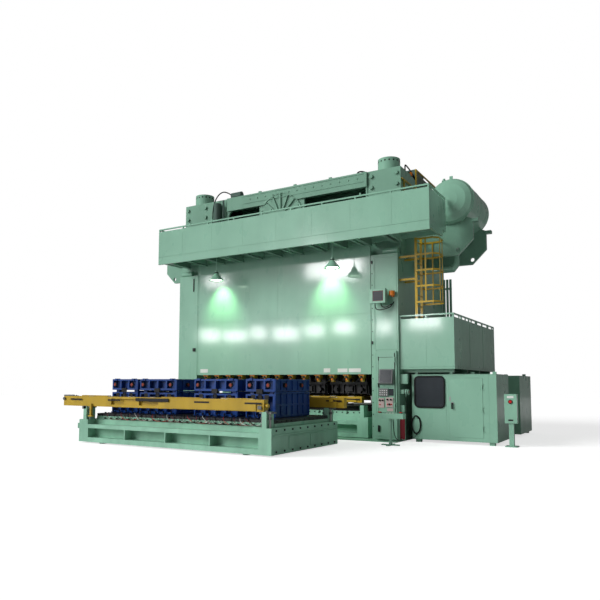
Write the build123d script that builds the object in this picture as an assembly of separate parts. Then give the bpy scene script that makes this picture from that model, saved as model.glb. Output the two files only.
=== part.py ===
from build123d import *
from math import atan2, cos, degrees, pi, radians, sin, sqrt, tan
import os

# A straight-side mechanical transfer press with two moving bolster carriages.
# Millimetres, +Z up, +X to the operator's right, +Y to the back.
# The origin is on the floor, in the middle between the uprights, in the plane of their front.

# Press frame
opening_w = 6400        # between the uprights
column_w = 810          # width of an upright's front
column_h = 5280         # height of an upright on the sole plate
frame_depth = 4500
wall = 60               # plate of the uprights
base_t = 20             # sole plate between the uprights
base_front = 300        # the sole plate reaches this far in front of the uprights
half = opening_w / 2
outer = half + column_w
column_top = base_t + column_h
touch = 0.3             # gap between pieces that seat on each other and move
bearing_clear = 0.06    # radial running clearance

# Crown
crown_front = 260       # the crown's front stands back from the uprights' front
crown_low_h = 1600
crown_up_h = 1000
crown_step = 1010       # from the crown's side in to its upper box
crown_wall = 80
crown_mid = column_top + crown_low_h
crown_top = crown_mid + crown_up_h
upper_half = outer - crown_step
window_h = 500
window_r = 150
window_low = crown_mid + 50
window_high = window_low + window_h
beam_proud = 60
beam_left = upper_half - 850    # the beam flange stops short on the left, beside the oil unit
ear_reach = 850         # the lifting ear stands out from the left upright
ear_chamfer = 370
ear_hole_r = 60
ear_hole_up = 150
ear_low = column_top - 130
ear_edge_h = 760        # height of the ear's outer edge

# Tie rods, one in each corner
rod_r = 110
rod_block_w = 1030
rod_block_d = 870
rod_block_h = 1010
block_front = 280
block_bolt_r = 62
block_bolt_h = 60
nut_r = 330
nut_h = 400
rod_clear = 5
rod_x = upper_half + touch + rod_block_w / 2
rod_y = (block_front + rod_block_d / 2, frame_depth - block_front - rod_block_d / 2)
rod_places = [(sx * rod_x, y) for sx in (-1, 1) for y in rod_y]
rail_t = 40
crown_rail_x = rod_x + rod_block_w / 2 + 5      # the crown's guard rail passes beside the blocks
crown_rail_z = (crown_mid + 630, crown_mid + 1260)

# Air receiver on the right of the crown
tank_r = 640
tank_len = 1750         # between the seams of shell and dished ends
tank_dish = 300
tank_x = outer + 1360
tank_z = column_top + 1430
tank_y = (crown_front + 390, crown_front + 390 + tank_len)
lug_t = 30
lug_h = 110
saddle_t = 80
saddle_in = 50          # from a tank seam in to its saddle plate
saddle_reach = 580      # from the tank's middle out to a saddle's edge
saddle_chamfer = 420
saddle_low = column_top - 110
saddle_right = tank_x + saddle_reach
saddle_top = tank_z - 560
pipe_r = 95
pipe_back = 850         # from the front seam to the air pipe
pipe_z = column_top - 340

# Walkway in front of the crown
walk_front = 1200
walk_beam_h = 260
walk_guard_h = 940
walk_gap = 60           # between deck and slide panel
walk_deck_t = 30
walk_deck = column_top + 500    # top of the deck
walk_low = walk_deck - walk_beam_h
walk_rail = walk_deck + walk_guard_h
walk_x = (80 - outer, outer + 1310)
sheet_t = 20

# Slide
slide_low = 1870
slide_box_h = 2880
slide_depth = 3840
slide_panel_t = 60
slide_gap = 12          # running gap to the gibs
slide_wall = 70
slide_box_top = slide_low + slide_box_h
slide_panel_top = walk_deck - 100
stroke_down = 300
stroke_up = 500
die_mid_y = slide_depth / 2     # middle of the die space, front to back
gib_w = 120
gib_in = 400
clamp_count = 13

# Drive in the crown
crank_x = 1500
crank_r = 400
pinion_teeth = 24
gear_teeth = 27
gear_w = 200
shaft_r = 150
bearing_wall = 100
bearing_y = 400         # from the middle to a bearing wall
crank_y = 920           # from the middle to a connecting rod
arm_t = 120
arm_w = 420
rod_t = 160
rod_w = 190
pin_r = 120
pin_len = 60            # from an arm to its connecting rod
flywheel_r = 900
flywheel_w = 350
flywheel_gap = 60
plunger_r = 220
plunger_wall = 80
plunger_guide_h = 260
wrist_up = 900          # wrist pins over the slide's box
cover_r = 780           # ribbed bearing cover on the crown's front
cover_ribs = 16
drive_z = crown_mid + 60
wrist_z = slide_box_top + wrist_up
plunger_top = wrist_z + 200
window_x = (cover_r + 70, upper_half - 50)      # right-hand window, from the middle out
window_left = upper_half - 900                  # the left-hand window is shorter
shaft_places = (-crank_x, 0, crank_x)
pinion_pitch = crank_x * pinion_teeth / (pinion_teeth + gear_teeth)
module = 2 * pinion_pitch / pinion_teeth
pin_drop = crank_r - stroke_down
pin_side = sqrt(crank_r ** 2 - pin_drop ** 2)
plunger_places = [(x, die_mid_y + sy * crank_y) for x in (-crank_x, crank_x) for sy in (-1, 1)]

# Window in each upright for the panels, and the guides of the feed lifters
feed_window_w = 1240
feed_window_low = 1000
feed_window_h = 700
guide_t = 25
guide_w = 160
guide_h = 500
lift_half = 1420        # from the middle of the die space to a feed bar
feed_window_y = (die_mid_y - feed_window_w / 2, die_mid_y + feed_window_w / 2)
feed_window_z = (feed_window_low, feed_window_low + feed_window_h)
lift_y = (die_mid_y - lift_half, die_mid_y + lift_half)

# Carriages
gap_left = 30           # from the left upright to a carriage
gap_right = 260
carriage_d = 3240
carriage_apart = 2000   # from the outer carriage to the one in the press
rail_top = 30
rail_w = 120
rail_in = 755           # from a carriage's side in to a rail's middle
skirt_gap = 5
skirt_t = 60
lower_top = 420         # top of the carriage's lower box
ledge_z = 500           # the ledge along a carriage's front
ledge_top = 620
ledge_d = 260
bolster_t = 160
post_d = 300
post_w = 120
post_top = 970
wheel_r = 140
wheel_w = 80
axle_r = 40
axle_inset = 620
carriage_w = opening_w - gap_left - gap_right
carriage_mid = (gap_left - gap_right) / 2
carriage_x = (carriage_mid - carriage_w / 2, carriage_mid + carriage_w / 2)
rail_gauge = carriage_w - 2 * rail_in
inner_front = die_mid_y - carriage_d / 2
outer_front = inner_front - carriage_apart - carriage_d
rail_front = -outer_front - 90
bolster_top = ledge_top + bolster_t
axle_z = rail_top + wheel_r + touch
t_slots = 12

# Dies: four sets on the outer carriage, four hung and four lower ones in the press
outer_die_w = (950, 1280, 1330, 820)
outer_die_gap = (210, 110, 620, 270)    # before each die, from the carriage's left side on
outer_die_d = 1660
outer_die_back = 950    # from the carriage's front
outer_low_die_h = 560
outer_die_open = 60     # between lower and upper die
outer_up_die_h = 300
die_rib = 45
die_pocket = 120
press_die_w = 1250
press_die_pitch = 1400
press_die_d = 2000
hung_die_low = 1300
hung_die_h = 350
low_die_h = 190
press_die_x = [((i - 1.5) * press_die_pitch - press_die_w / 2, (i - 1.5) * press_die_pitch + press_die_w / 2)
               for i in range(4)]
press_die_y = (die_mid_y - 20 - press_die_d / 2, die_mid_y - 20 + press_die_d / 2)
outer_die_y = (outer_front + outer_die_back, outer_front + outer_die_back + outer_die_d)

# Feed bars
bar_low = 1040
bar_h = 180
bar_w = 170
bar_end = 500           # from an upright to the feed bar's end
lift_block_w = 115
lift_block_half = 260
shoe_t = 30
shoe_half = 110
shoe_low = 1000
shoe_top = 1240
outer_bar_h = 265
bar_half = half - bar_end
outer_bar_x = (carriage_x[0] - 730, carriage_x[1] - 240)
lift_face = half - guide_t - lift_block_w   # inner face of a lifter block

# Slide locks and conduits
lock_r = 100
lock_step = 25
conduit_r = 42
conduit_gap = 2.6       # conduit pitch, in radii
cleat_h = 60

# Feed drive housing
house_gap = 270         # from the upright to the housing
house_w = 2270
house_d = 5240
house_front = 270
house_foot = 80
house_h = 1783
house_wall = 40
foot_half = 70
house_x = (outer + house_gap, outer + house_gap + house_w)
house_y = (house_front, house_front + house_d)
house_z = (house_foot, house_foot + house_h)
notch_d = 500
notch_y = (house_front + 1550, house_front + 3250)
room_d = 600
well_d = 400
door_w = 900
door_x = (house_x[0] + 1020, house_x[0] + 1020 + door_w)
door_z = (house_z[0] + 100, house_z[1] - 103)
door_gap = 4
pane_t = 20
pane_r = 110
pane_w = 820
pane_h = 840
pane_lap = 60
window_pane_x = (house_x[0] + 90, house_x[0] + 90 + pane_w)
window_pane_z = (house_z[1] - 63 - pane_h, house_z[1] - 63)
window_well_x = (window_pane_x[0] + pane_lap, window_pane_x[1] - pane_lap)
window_well_z = (window_pane_z[0] + pane_lap, window_pane_z[1] - pane_lap)
handle_r = 14
handle_x = door_x[0] + 100
handle_z = door_z[0] + 900

# Mezzanine over the housing, and the ladder from it up to the walkway
mezz_w = 1530
mezz_front = 70
mezz_deck_t = 60
mezz_up = 142           # from the housing's top to the deck
mezz_guard_h = 1508
mezz_x = (outer, outer + mezz_w)
mezz_y = (mezz_front, frame_depth + 440)
mezz_low = house_z[1] + mezz_up
mezz_rail = mezz_low + mezz_guard_h
ladder_x = outer + 490
ladder_y = (130, 580)
ladder_z = (mezz_low + mezz_deck_t, walk_deck - 60)
stile_w = 70
stile_t = 24
rung_half = 13
rung_pitch = 300
cage_out = 650
cage_side = 110
cage_cut = 130
cage_t = 14
cage_band = 50
cage_z = (walk_deck - 1970, walk_deck - 200)

# Hinges
hinge_r = 8
hinge_pin_r = 5
hinge_h = 60
hinge_lug = 15
hinge_reach = 45
hinge_step = 16
door_hinge_z = (door_z[0] + 240, door_z[0] + 740, door_z[1] - 240)

# Control cabinet on the right upright's front
cab_d = 60
cab_x = (half + 140, outer - 50)
cab_z = (base_t + 40, 2520)
cab_frame = 40
cab_door_x = (cab_x[0] + 60, cab_x[1] - cab_frame)
cab_door_z = (800, cab_z[1] - 50)
cab_door_proud = 14
cab_hinge_z = (cab_door_z[0] + 200, cab_door_z[1] - 200)

# Console and button post
console_x = outer + 120
console_y = -1010
console_half = 385
console_d = 220
console_low = 690
console_top = 830
console_post_r = 45
palm_out = 290
palm_r = 45
button_stem = 18
button_travel = 8
post_x = house_x[1] + 330
post_y = 370
post_box_z = (600, 1345)
post_button_z = 1150
post_face = post_y - 90

# Work lamps under the walkway
lamp_x = (-1830, 2330)
lamp_y = 450 - walk_front
lamp_mouth = walk_deck - 905
shade_r = 235
shade_h = 230
shade_t = 20
shade_top_r = 60
stem_r = 14

# Oil unit on the crown
oil_y = crown_front - 140
oil_x = -upper_half + 510
accumulator_r = 130
accumulator_z = (crown_mid - 500, crown_mid + 840)
oil_pipe_x = -upper_half + 735
oil_pipe_r = 32
motor_r = 110
motor_x = (-upper_half + 950, -upper_half + 1350)
motor_y = crown_front + 120
reservoir_y = (frame_depth - 2550, frame_depth - 1350)
reservoir_h = 1300

# Boxes on the upright's outer side
side_x = outer
pendant_z = 1370
pendant_r = 85


def shifted(origin, offsets):
    """Points given as offsets from one place."""
    return [tuple(o + d for o, d in zip(origin, offset)) for offset in offsets]


# Cords: the route of each, from the gland that it leaves
oil_hose_r = 20
oil_hose_route = shifted((oil_x - 200, oil_y, crown_mid + 60), [
    (0, 0, 0), (-2, 0, 280), (2, 2, 570), (50, 10, 840), (160, 30, 1060), (320, 70, 1200), (490, 130, 1190),
    (620, 190, 1100)])
console_cable_r = 10
console_cable_route = shifted((console_x + 75, console_y, console_low - 30), [
    (0, 0, 0), (1, 18, -180), (-5, 95, -360), (-23, 240, -480), (-53, 440, -545), (-90, 650, -578),
    (-120, 840, -588), (-133, 990, -584)])
pendant_cable_r = 7
pendant_cable_route = shifted((side_x + 155, 110, pendant_z - 115), [
    (0, 0, 0), (3, -2, -195), (11, -10, -385), (21, -15, -575), (27, -15, -765), (40, -5, -935),
    (85, 20, -1065), (160, 55, -1130), (227, 96, -1113), (235, 136, -1041)])
hank_half = (148, 266)
hank_band = 45
hank_t = 40
hank_y = (house_front - 2 - hank_t, house_front - 2)
hank_middle = (house_x[0] + 116, 475)
hook_r = 14


def block(x, y, z):
    """A block from its lowest and highest X, Y and Z."""
    centre = ((x[0] + x[1]) / 2, (y[0] + y[1]) / 2, (z[0] + z[1]) / 2)
    return Pos(*centre) * Box(x[1] - x[0], y[1] - y[0], z[1] - z[0])


def plate_xz(points, y0, y1):
    """A plate with an outline in X and Z, from y0 back to y1."""
    outline = make_face(Polyline(*[(px, 0, pz) for px, pz in points], close=True))
    return Pos(0, y0, 0) * extrude(outline, amount=y1 - y0, dir=(0, 1, 0))


def plate_yz(points, x0, x1):
    """A plate with an outline in Y and Z, from x0 to x1."""
    outline = make_face(Polyline(*[(0, py, pz) for py, pz in points], close=True))
    return Pos(x0, 0, 0) * extrude(outline, amount=x1 - x0, dir=(1, 0, 0))


def round_y(x, z, r, y0, y1):
    """A round bar along Y."""
    return Pos(x, (y0 + y1) / 2, z) * Rot(90, 0, 0) * Cylinder(r, y1 - y0)


def round_x(y, z, r, x0, x1):
    """A round bar along X."""
    return Pos((x0 + x1) / 2, y, z) * Rot(0, 90, 0) * Cylinder(r, x1 - x0)


def round_z(x, y, r, z0, z1):
    """A round bar along Z."""
    return Pos(x, y, (z0 + z1) / 2) * Cylinder(r, z1 - z0)


def mirror_x(shape):
    """The same shape on the other side of the press."""
    return mirror(shape, about=Plane.YZ)



def save(name, *shapes):
    """Write one sub-part, a single solid or a group of like solids."""
    solids = [solid for shape in shapes for solid in shape.solids()]
    result = solids[0] if len(solids) == 1 else Compound(children=solids)
    export_step(result, f"parts/{name}.step")


def hinge_pins(x, y, heights, face_y):
    """Fixed halves of hinges: a pin between two lugs that stand out from the frame's face."""
    pins = None
    for z in heights:
        pin = round_z(x, y, hinge_pin_r, z - hinge_h - hinge_lug, z + hinge_h + hinge_lug)
        for side in (-1, 1):
            ends = sorted((z + side * (hinge_h + touch), z + side * (hinge_h + hinge_lug)))
            pin += round_z(x, y, hinge_r, *ends)
            pin += block((x, x + hinge_reach), (y - hinge_r, y + hinge_r), ends)
            pin += block((x + hinge_step, x + hinge_reach), (y - hinge_r, face_y), ends)
        pins = pin if pins is None else pins + pin
    return pins


def knuckles(x, y, heights, door_y):
    """Moving halves of hinges: sleeves on leaves that lie on the door's face."""
    sleeves = None
    for z in heights:
        sleeve = round_z(x, y, hinge_r + 4, z - hinge_h, z + hinge_h)
        sleeve += block((x - 45, x), (y + 3, door_y), (z - hinge_h, z + hinge_h))
        sleeve -= round_z(x, y, hinge_pin_r + bearing_clear, z - hinge_h - 1, z + hinge_h + 1)
        sleeves = sleeve if sleeves is None else sleeves + sleeve
    return sleeves


def rod(start, end, r):
    """A round bar from one point to another."""
    line = Vector(*end) - Vector(*start)
    return extrude(Plane(origin=start, z_dir=line) * Circle(r), amount=line.length)


def cord(points, r):
    """A cord's tube: straight runs joined by the largest arcs that the runs allow."""
    runs = [Vector(*b) - Vector(*a) for a, b in zip(points, points[1:])]
    radii = []
    for a, b in zip(runs, runs[1:]):
        turn = radians(a.get_angle(b))
        radii.append(0.45 * min(a.length, b.length) / tan(turn / 2))
    print("cord radii", [round(value) for value in radii])
    path = FilletPolyline(*points, radius=radii)
    tube = sweep(Plane(origin=points[0], z_dir=runs[0]) * Circle(r), path=path)
    print("cord length", round(path.length), "volume ratio", round(tube.volume / (pi * r * r * path.length), 4))
    return tube


def on_from(points, length):
    """The point past a cord's last one, straight on."""
    last = Vector(*points[-1])
    return tuple(last + (last - Vector(*points[-2])).normalized() * length)


def back_from(points, length):
    """The point before a cord's first one, straight back."""
    return on_from(points[1::-1], length)


def spaced(low, high, count):
    """Evenly spaced places from low to high, both ends included."""
    return [low + (high - low) * i / (count - 1) for i in range(count)]


def make_bed():
    """Sole plate between the uprights and the two floor rails of the carriages."""
    bed = block((-outer, outer), (-base_front, frame_depth), (0, base_t))
    for side in (-1, 1):
        x = carriage_mid + side * rail_gauge / 2
        bed += block((x - rail_w / 2, x + rail_w / 2), (-rail_front, frame_depth), (0, rail_top))
    return bed


def make_upright():
    """Right-hand upright: a hollow welded column with a window for the feed and tie-rod holes."""
    column = block((half, outer), (0, frame_depth), (base_t, column_top))
    column -= block((half + wall, outer - wall), (wall, frame_depth - wall),
                    (base_t + wall, column_top - wall))
    window = block((half - 1, outer + 1), feed_window_y, feed_window_z)
    lining = block((half + wall, outer - wall), (feed_window_y[0] - wall, feed_window_y[1] + wall),
                   (feed_window_z[0] - wall, feed_window_z[1] + wall))
    column += lining
    column -= window
    for y in rod_y:
        column -= round_z(rod_x, y, rod_r + rod_clear, base_t - 1, column_top + 1)
    for y in (lift_y[0], lift_y[1]):
        column += block((half - guide_t, half), (y - guide_w / 2, y + guide_w / 2),
                        (feed_window_low, feed_window_low + guide_h))
    return column


def make_conduits():
    """Cable conduits on the back part of the right upright's outer side, on cleats."""
    y = frame_depth - 200
    conduits = None
    for i in range(3):
        x = outer + 20 + conduit_r * (1 + i * conduit_gap)
        tube = round_z(x, y, conduit_r, ladder_z[0], column_top - 150)
        conduits = tube if conduits is None else conduits + tube
    for z in spaced(ladder_z[0] + 540, column_top - 500, 3):
        conduits += block((outer, outer + 20 + 7.2 * conduit_r), (y - 20, y + 20), (z, z + cleat_h))
    return conduits


def tank_saddle(y0):
    """A saddle plate that carries the air receiver from the crown's side."""
    plate = plate_xz([(outer, saddle_low), (saddle_right - saddle_chamfer, saddle_low),
                      (saddle_right, saddle_low + saddle_chamfer), (saddle_right, saddle_top),
                      (tank_x, saddle_top + 300), (outer, crown_mid - 100)], y0, y0 + saddle_t)
    plate -= round_y(tank_x, tank_z, tank_r + touch, y0 - 1, y0 + saddle_t + 1)
    hole_x = saddle_right - saddle_chamfer
    plate -= round_y(hole_x, saddle_low + ear_hole_up, ear_hole_r, y0 - 1, y0 + saddle_t + 1)
    pad = block((saddle_right - 40, saddle_right + 150), (y0 - 40, y0 + saddle_t + 40),
                (saddle_top - 90, saddle_top))
    return plate + pad


def make_crown():
    """Welded crown: lower and upper box, front windows, bearing walls, ear and tank saddles."""
    crown = block((-outer, outer), (crown_front, frame_depth), (column_top, crown_mid))
    crown += block((-upper_half, upper_half), (crown_front, frame_depth), (crown_mid, crown_top))
    w = crown_wall
    crown -= block((-outer + w, outer - w), (crown_front + w, frame_depth - w),
                   (column_top + w, crown_mid - w))
    crown -= block((-upper_half + w, upper_half - w), (crown_front + w, frame_depth - w),
                   (crown_mid - w - 1, crown_top - w))
    for side, far in ((1, window_x[1]), (-1, window_left)):
        x0, x1 = sorted((side * window_x[0], side * far))
        pane = block((x0, x1), (crown_front - 1, crown_front + w + 1), (window_low, window_high))
        corner = pane.edges().filter_by(Axis.Y).sort_by(Axis.X)[0 if side < 0 else -1]
        crown -= fillet(corner, window_r)
    # Beam flange along the top of the front
    crown += block((-beam_left, rod_x - rod_block_w / 2),
                   (crown_front - beam_proud, crown_front), (window_high, crown_top))
    # Walls that carry the shafts
    for side in (-1, 1):
        y = die_mid_y + side * bearing_y
        crown += block((600 - upper_half, upper_half - 600), (y - bearing_wall / 2, y + bearing_wall / 2),
                       (drive_z - 500, crown_top - w))
    for x in shaft_places:
        crown -= round_y(x, drive_z, shaft_r + bearing_clear,
                         die_mid_y - bearing_y - bearing_wall, die_mid_y + bearing_y + bearing_wall)
    crown -= round_y(0, drive_z, shaft_r + bearing_clear, crown_front - 1, frame_depth + 1)
    # Guide collars of the slide's plungers
    for x, y in plunger_places:
        crown += round_z(x, y, plunger_r + plunger_wall, column_top, column_top + plunger_guide_h)
        crown -= round_z(x, y, plunger_r + bearing_clear, column_top - 1, column_top + plunger_guide_h + 1)
    for x, y in rod_places:
        crown -= round_z(x, y, rod_r + rod_clear, column_top - 1, crown_mid + 1)
    reach = outer + ear_reach
    ear = plate_xz([(-outer, ear_low), (-reach + ear_chamfer, ear_low),
                    (-reach, ear_low + ear_chamfer), (-reach, ear_low + ear_chamfer + ear_edge_h),
                    (-outer, crown_mid)], crown_front, crown_front + saddle_t)
    ear -= round_y(-reach + ear_chamfer, ear_low + ear_hole_up, ear_hole_r, 0, frame_depth)
    crown += ear
    crown += tank_saddle(tank_y[0] + saddle_in)
    crown += tank_saddle(tank_y[1] - saddle_in - saddle_t)
    return crown - round_y(0, drive_z, cover_r + touch, crown_front - beam_proud - 1, crown_front)


def make_bearing_cover():
    """Round ribbed cover over the front bearing of the drive shaft."""
    front = crown_front - 110
    cover = round_y(0, drive_z, cover_r, crown_front - 40, crown_front)
    cover += round_y(0, drive_z, cover_r * 0.3, front, crown_front)
    for i in range(cover_ribs):
        rib = block((cover_r * 0.25, cover_r * 0.93), (front + 20, crown_front - 30), (-18, 18))
        turned = Pos(0, 0, drive_z) * Rot(0, 360 / cover_ribs * i, 0) * rib
        cover += turned
    return cover


def make_rod_blocks():
    """The four massive blocks that the tie rods pull down on, with their bolts."""
    blocks = []
    for x, y in rod_places:
        b = block((x - rod_block_w / 2, x + rod_block_w / 2), (y - rod_block_d / 2, y + rod_block_d / 2),
                  (crown_mid, crown_mid + rod_block_h))
        b -= round_z(x, y, rod_r + rod_clear, crown_mid - 1, crown_mid + rod_block_h + 1)
        out = -1 if y < frame_depth / 2 else 1
        face = y + out * rod_block_d / 2
        for bx in (-0.38, 0.38):
            for bz in (0.5, 0.83):
                head = Pos(x + bx * rod_block_w, face + out * block_bolt_h / 2, crown_mid + bz * rod_block_h)
                b += head * Rot(90, 0, 0) * extrude(RegularPolygon(block_bolt_r, 8), block_bolt_h / 2, both=True)
        blocks.append(b)
    return blocks


def make_plungers():
    """Round plungers on the slide, each with a slot for its connecting rod."""
    plungers = []
    for x, y in plunger_places:
        body = round_z(x, y, plunger_r, slide_low + slide_box_h, plunger_top)
        slot = block((x - plunger_r - 1, x + plunger_r + 1), (y - rod_t / 2 - touch, y + rod_t / 2 + touch),
                     (wrist_z - 200, plunger_top + 1))
        plungers.append(body - slot)
    return plungers


def make_connecting_rods():
    """Connecting rods from the plungers' wrist pins up to the crank pins."""
    rods = []
    for x, y in plunger_places:
        low = (x, wrist_z)
        high = (x - pin_side, drive_z - pin_drop)
        length = sqrt((high[0] - low[0]) ** 2 + (high[1] - low[1]) ** 2)
        lean = degrees(atan2(high[0] - low[0], high[1] - low[1]))
        shank = Pos(0, 0, length / 2) * Box(rod_w, rod_t, length)
        small = Rot(90, 0, 0) * Cylinder(150, rod_t)
        big = Pos(0, 0, length) * Rot(90, 0, 0) * Cylinder(210, rod_t)
        rod = shank + small + big
        rods.append(Pos(x, y, wrist_z) * Rot(0, lean, 0) * rod)
    return rods


def gear_blank(teeth, width, turn):
    """A spur gear about the Y axis with straight-sided teeth, turned by so many degrees."""
    pitch_r = module * teeth / 2
    tip_r = pitch_r + 0.8 * module
    root_r = pitch_r - 1.05 * module
    step = 2 * pi / teeth
    points = []
    for i in range(teeth):
        a = i * step + radians(turn)
        for offset, r in ((-0.30, root_r), (-0.13, tip_r), (0.13, tip_r), (0.30, root_r)):
            points.append((r * cos(a + offset * step), r * sin(a + offset * step)))
    return plate_xz(points, -width / 2, width / 2)


def make_crankshaft(x):
    """Crankshaft of one side: gear in the middle, an overhung crank arm and pin at each end."""
    turn = 180 / gear_teeth if x < 0 else 180 + 180 / gear_teeth
    shaft = Pos(x, die_mid_y, drive_z) * gear_blank(gear_teeth, gear_w, turn)
    arm_in = crank_y - rod_t / 2 - pin_len - arm_t
    arm_out = arm_in + arm_t
    shaft += round_y(x, drive_z, shaft_r, die_mid_y - arm_out, die_mid_y + arm_out)
    pin_x = x - pin_side
    pin_z = drive_z - pin_drop
    lean = degrees(atan2(pin_side, pin_drop))
    for side in (-1, 1):
        middle = die_mid_y + side * (arm_in + arm_t / 2)
        arm = Pos(0, 0, -crank_r / 2) * Box(arm_w, arm_t, crank_r + arm_w)
        shaft += Pos(x, middle, drive_z) * Rot(0, lean, 0) * arm
        ends = sorted((die_mid_y + side * arm_out, die_mid_y + side * (crank_y - rod_t / 2 - touch)))
        shaft += round_y(pin_x, pin_z, pin_r, *ends)
    return shaft


def make_drive_shaft():
    """Drive shaft with its pinion and, behind the crown, the flywheel."""
    wheel_y = (frame_depth + flywheel_gap, frame_depth + flywheel_gap + flywheel_w)
    shaft = Pos(0, die_mid_y, drive_z) * gear_blank(pinion_teeth, gear_w, 0)
    shaft += round_y(0, drive_z, shaft_r, crown_front + 20, wheel_y[1])
    rim = round_y(0, drive_z, flywheel_r, *wheel_y)
    rim -= round_y(0, drive_z, flywheel_r - 160, wheel_y[0] + 160, wheel_y[1] + 1)
    hub = round_y(0, drive_z, 280, *wheel_y)
    return shaft + rim + hub


def make_slide():
    """The slide: a hollow box with a tall smooth front panel, held by gussets."""
    x1 = half - slide_gap
    w = slide_wall
    slide = block((-x1, x1), (0, slide_depth), (slide_low, slide_box_top))
    slide += block((-x1, x1), (0, slide_panel_t), (slide_box_top, slide_panel_top))
    bays = spaced(-x1, x1, 5)
    for a, b in zip(bays, bays[1:]):
        slide -= block((a + w, b - w), (w, slide_depth - w), (slide_low + 2 * w, slide_box_top - w))
    # The gussets stay in front of the crown, because the panel rises past it
    for x in spaced(500 - x1, x1 - 500, 5):
        slide += plate_yz([(slide_panel_t, slide_box_top), (crown_front - 20, slide_box_top),
                           (slide_panel_t, slide_panel_top - 250)], x - 20, x + 20)
    return slide


def make_clamps():
    """Die clamps in a row under the front and back edge of the slide."""
    clamps = []
    for y in (60, slide_depth - 260):
        for x in spaced(350 - half, half - 350, clamp_count):
            foot = block((x - 70, x + 70), (y, y + 200), (slide_low - 110, slide_low))
            nose = block((x - 40, x + 40), (y + 40, y + 160), (slide_low - 220, slide_low - 110))
            clamps.append(foot + nose)
    return clamps


def ribbed_die(x, y, z, ribs_x, ribs_y):
    """A die casting with open pockets between the ribs of its four sides."""
    die = block(x, y, z)
    depth = die_pocket
    rib = die_rib
    low = z[0] + 55
    high = z[1] - 45
    cells = spaced(x[0] + rib / 2, x[1] - rib / 2, ribs_x + 1)
    for a, b in zip(cells, cells[1:]):
        for near in ((y[0] - 1, y[0] + depth), (y[1] - depth, y[1] + 1)):
            die -= block((a + rib / 2, b - rib / 2), near, (low, high))
    cells = spaced(y[0] + depth + rib / 2, y[1] - depth - rib / 2, ribs_y + 1)
    for a, b in zip(cells, cells[1:]):
        for near in ((x[0] - 1, x[0] + depth), (x[1] - depth, x[1] + 1)):
            die -= block((a + rib / 2, b - rib / 2), near, (low, high))
    return die


def make_outer_dies():
    """Lower and upper die of each set, the upper on four guide posts."""
    low_z = (bolster_top, bolster_top + outer_low_die_h)
    up_z = (low_z[1] + outer_die_open, low_z[1] + outer_die_open + outer_up_die_h)
    lower, upper = [], []
    left = carriage_x[0]
    for gap, width in zip(outer_die_gap, outer_die_w):
        x = (left + gap, left + gap + width)
        left = x[1]
        count = 4 if width > 1000 else 3
        low = ribbed_die(x, outer_die_y, low_z, count, 5)
        for px in (x[0] + 130, x[1] - 130):
            for py in (outer_die_y[0] + 130, outer_die_y[1] - 130):
                low += block((px - 50, px + 50), (py - 50, py + 50), (low_z[1], up_z[0]))
        lower.append(low)
        upper.append(ribbed_die(x, outer_die_y, up_z, count, 5))
    return lower, upper


def make_press_dies():
    """Upper dies clamped under the slide and lower dies on the inner carriage's bolster."""
    hung_top = hung_die_low + hung_die_h
    low_top = bolster_top + low_die_h
    upper, lower = [], []
    for x in press_die_x:
        die = block(x, press_die_y, (hung_die_low, hung_top))
        die += block(x, (press_die_y[0] - 120, press_die_y[1] + 120), (hung_top - 80, hung_top))
        for px in (x[0] + 150, x[1] - 150):
            for py in (press_die_y[0] + 100, press_die_y[1] - 100):
                die += block((px - 60, px + 60), (py - 60, py + 60), (hung_top, slide_low))
        upper.append(die)
        bottom = block(x, press_die_y, (bolster_top, low_top - 60))
        bottom += block((x[0] + 150, x[1] - 150), (press_die_y[0] + 150, press_die_y[1] - 150),
                        (low_top - 60, low_top))
        lower.append(bottom)
    return upper, lower


def make_carriage(front):
    """Welded frame of a bolster carriage: skirts, recessed sides, ledge, posts and axle boxes."""
    x0, x1 = carriage_x
    y0 = front
    y1 = front + carriage_d
    low = rail_top + skirt_gap
    body = block((x0, x1), (y0, y1), (low, ledge_top))
    body -= block((x0 + skirt_t, x1 - skirt_t), (y0 + post_d, y1 - post_d), (low - 1, lower_top))
    body -= block((x0 + skirt_t, x1 - skirt_t), (y0 + 40, y1 - 40), (low - 1, low + 90))
    long_sides = ((y0 - 1, y0 + ledge_d), (y1 - ledge_d, y1 + 1))
    cells = spaced(x0 + 330, x1 - 330, 5)
    for a, b in zip(cells, cells[1:]):
        for side in long_sides:
            body -= block((a + 15, b - 15), side, (low + 120, ledge_z - 100))
    # The deck is set back behind the ledge on the long sides
    for side in long_sides:
        body -= block((x0 + 330, x1 - 330), side, (ledge_z, ledge_top + 1))
    for x in (x0 + 150, x1 - 250):
        for near in ((y0, y0 + post_d), (y1 - post_d, y1)):
            body += block((x, x + post_w), near, (ledge_top, post_top))
    for y in (y0 + axle_inset, y1 - axle_inset):
        for side in (-1, 1):
            x = carriage_mid + side * (rail_gauge / 2 - 200)
            body += block((x - 60, x + 60), (y - 130, y + 130), (rail_top + wheel_r - 100, lower_top))
        body -= round_x(y, axle_z, axle_r + bearing_clear, x0 + skirt_t, x1 - skirt_t)
    return body


def make_bolster(front):
    """Bolster plate with T-slots that end in its front edge."""
    x0 = carriage_x[0] + 340
    x1 = carriage_x[1] - 130
    y = (front + post_d + 10, front + carriage_d - post_d - 10)
    plate = block((x0, x1), y, (ledge_top, bolster_top))
    for x in spaced(x0 + 200, x1 - 200, t_slots):
        plate -= block((x - 16, x + 16), (y[0] - 1, y[0] + 200), (bolster_top - 90, bolster_top + 1))
        plate -= block((x - 32, x + 32), (y[0] - 1, y[0] + 200), (bolster_top - 90, bolster_top - 55))
    return plate


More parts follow.
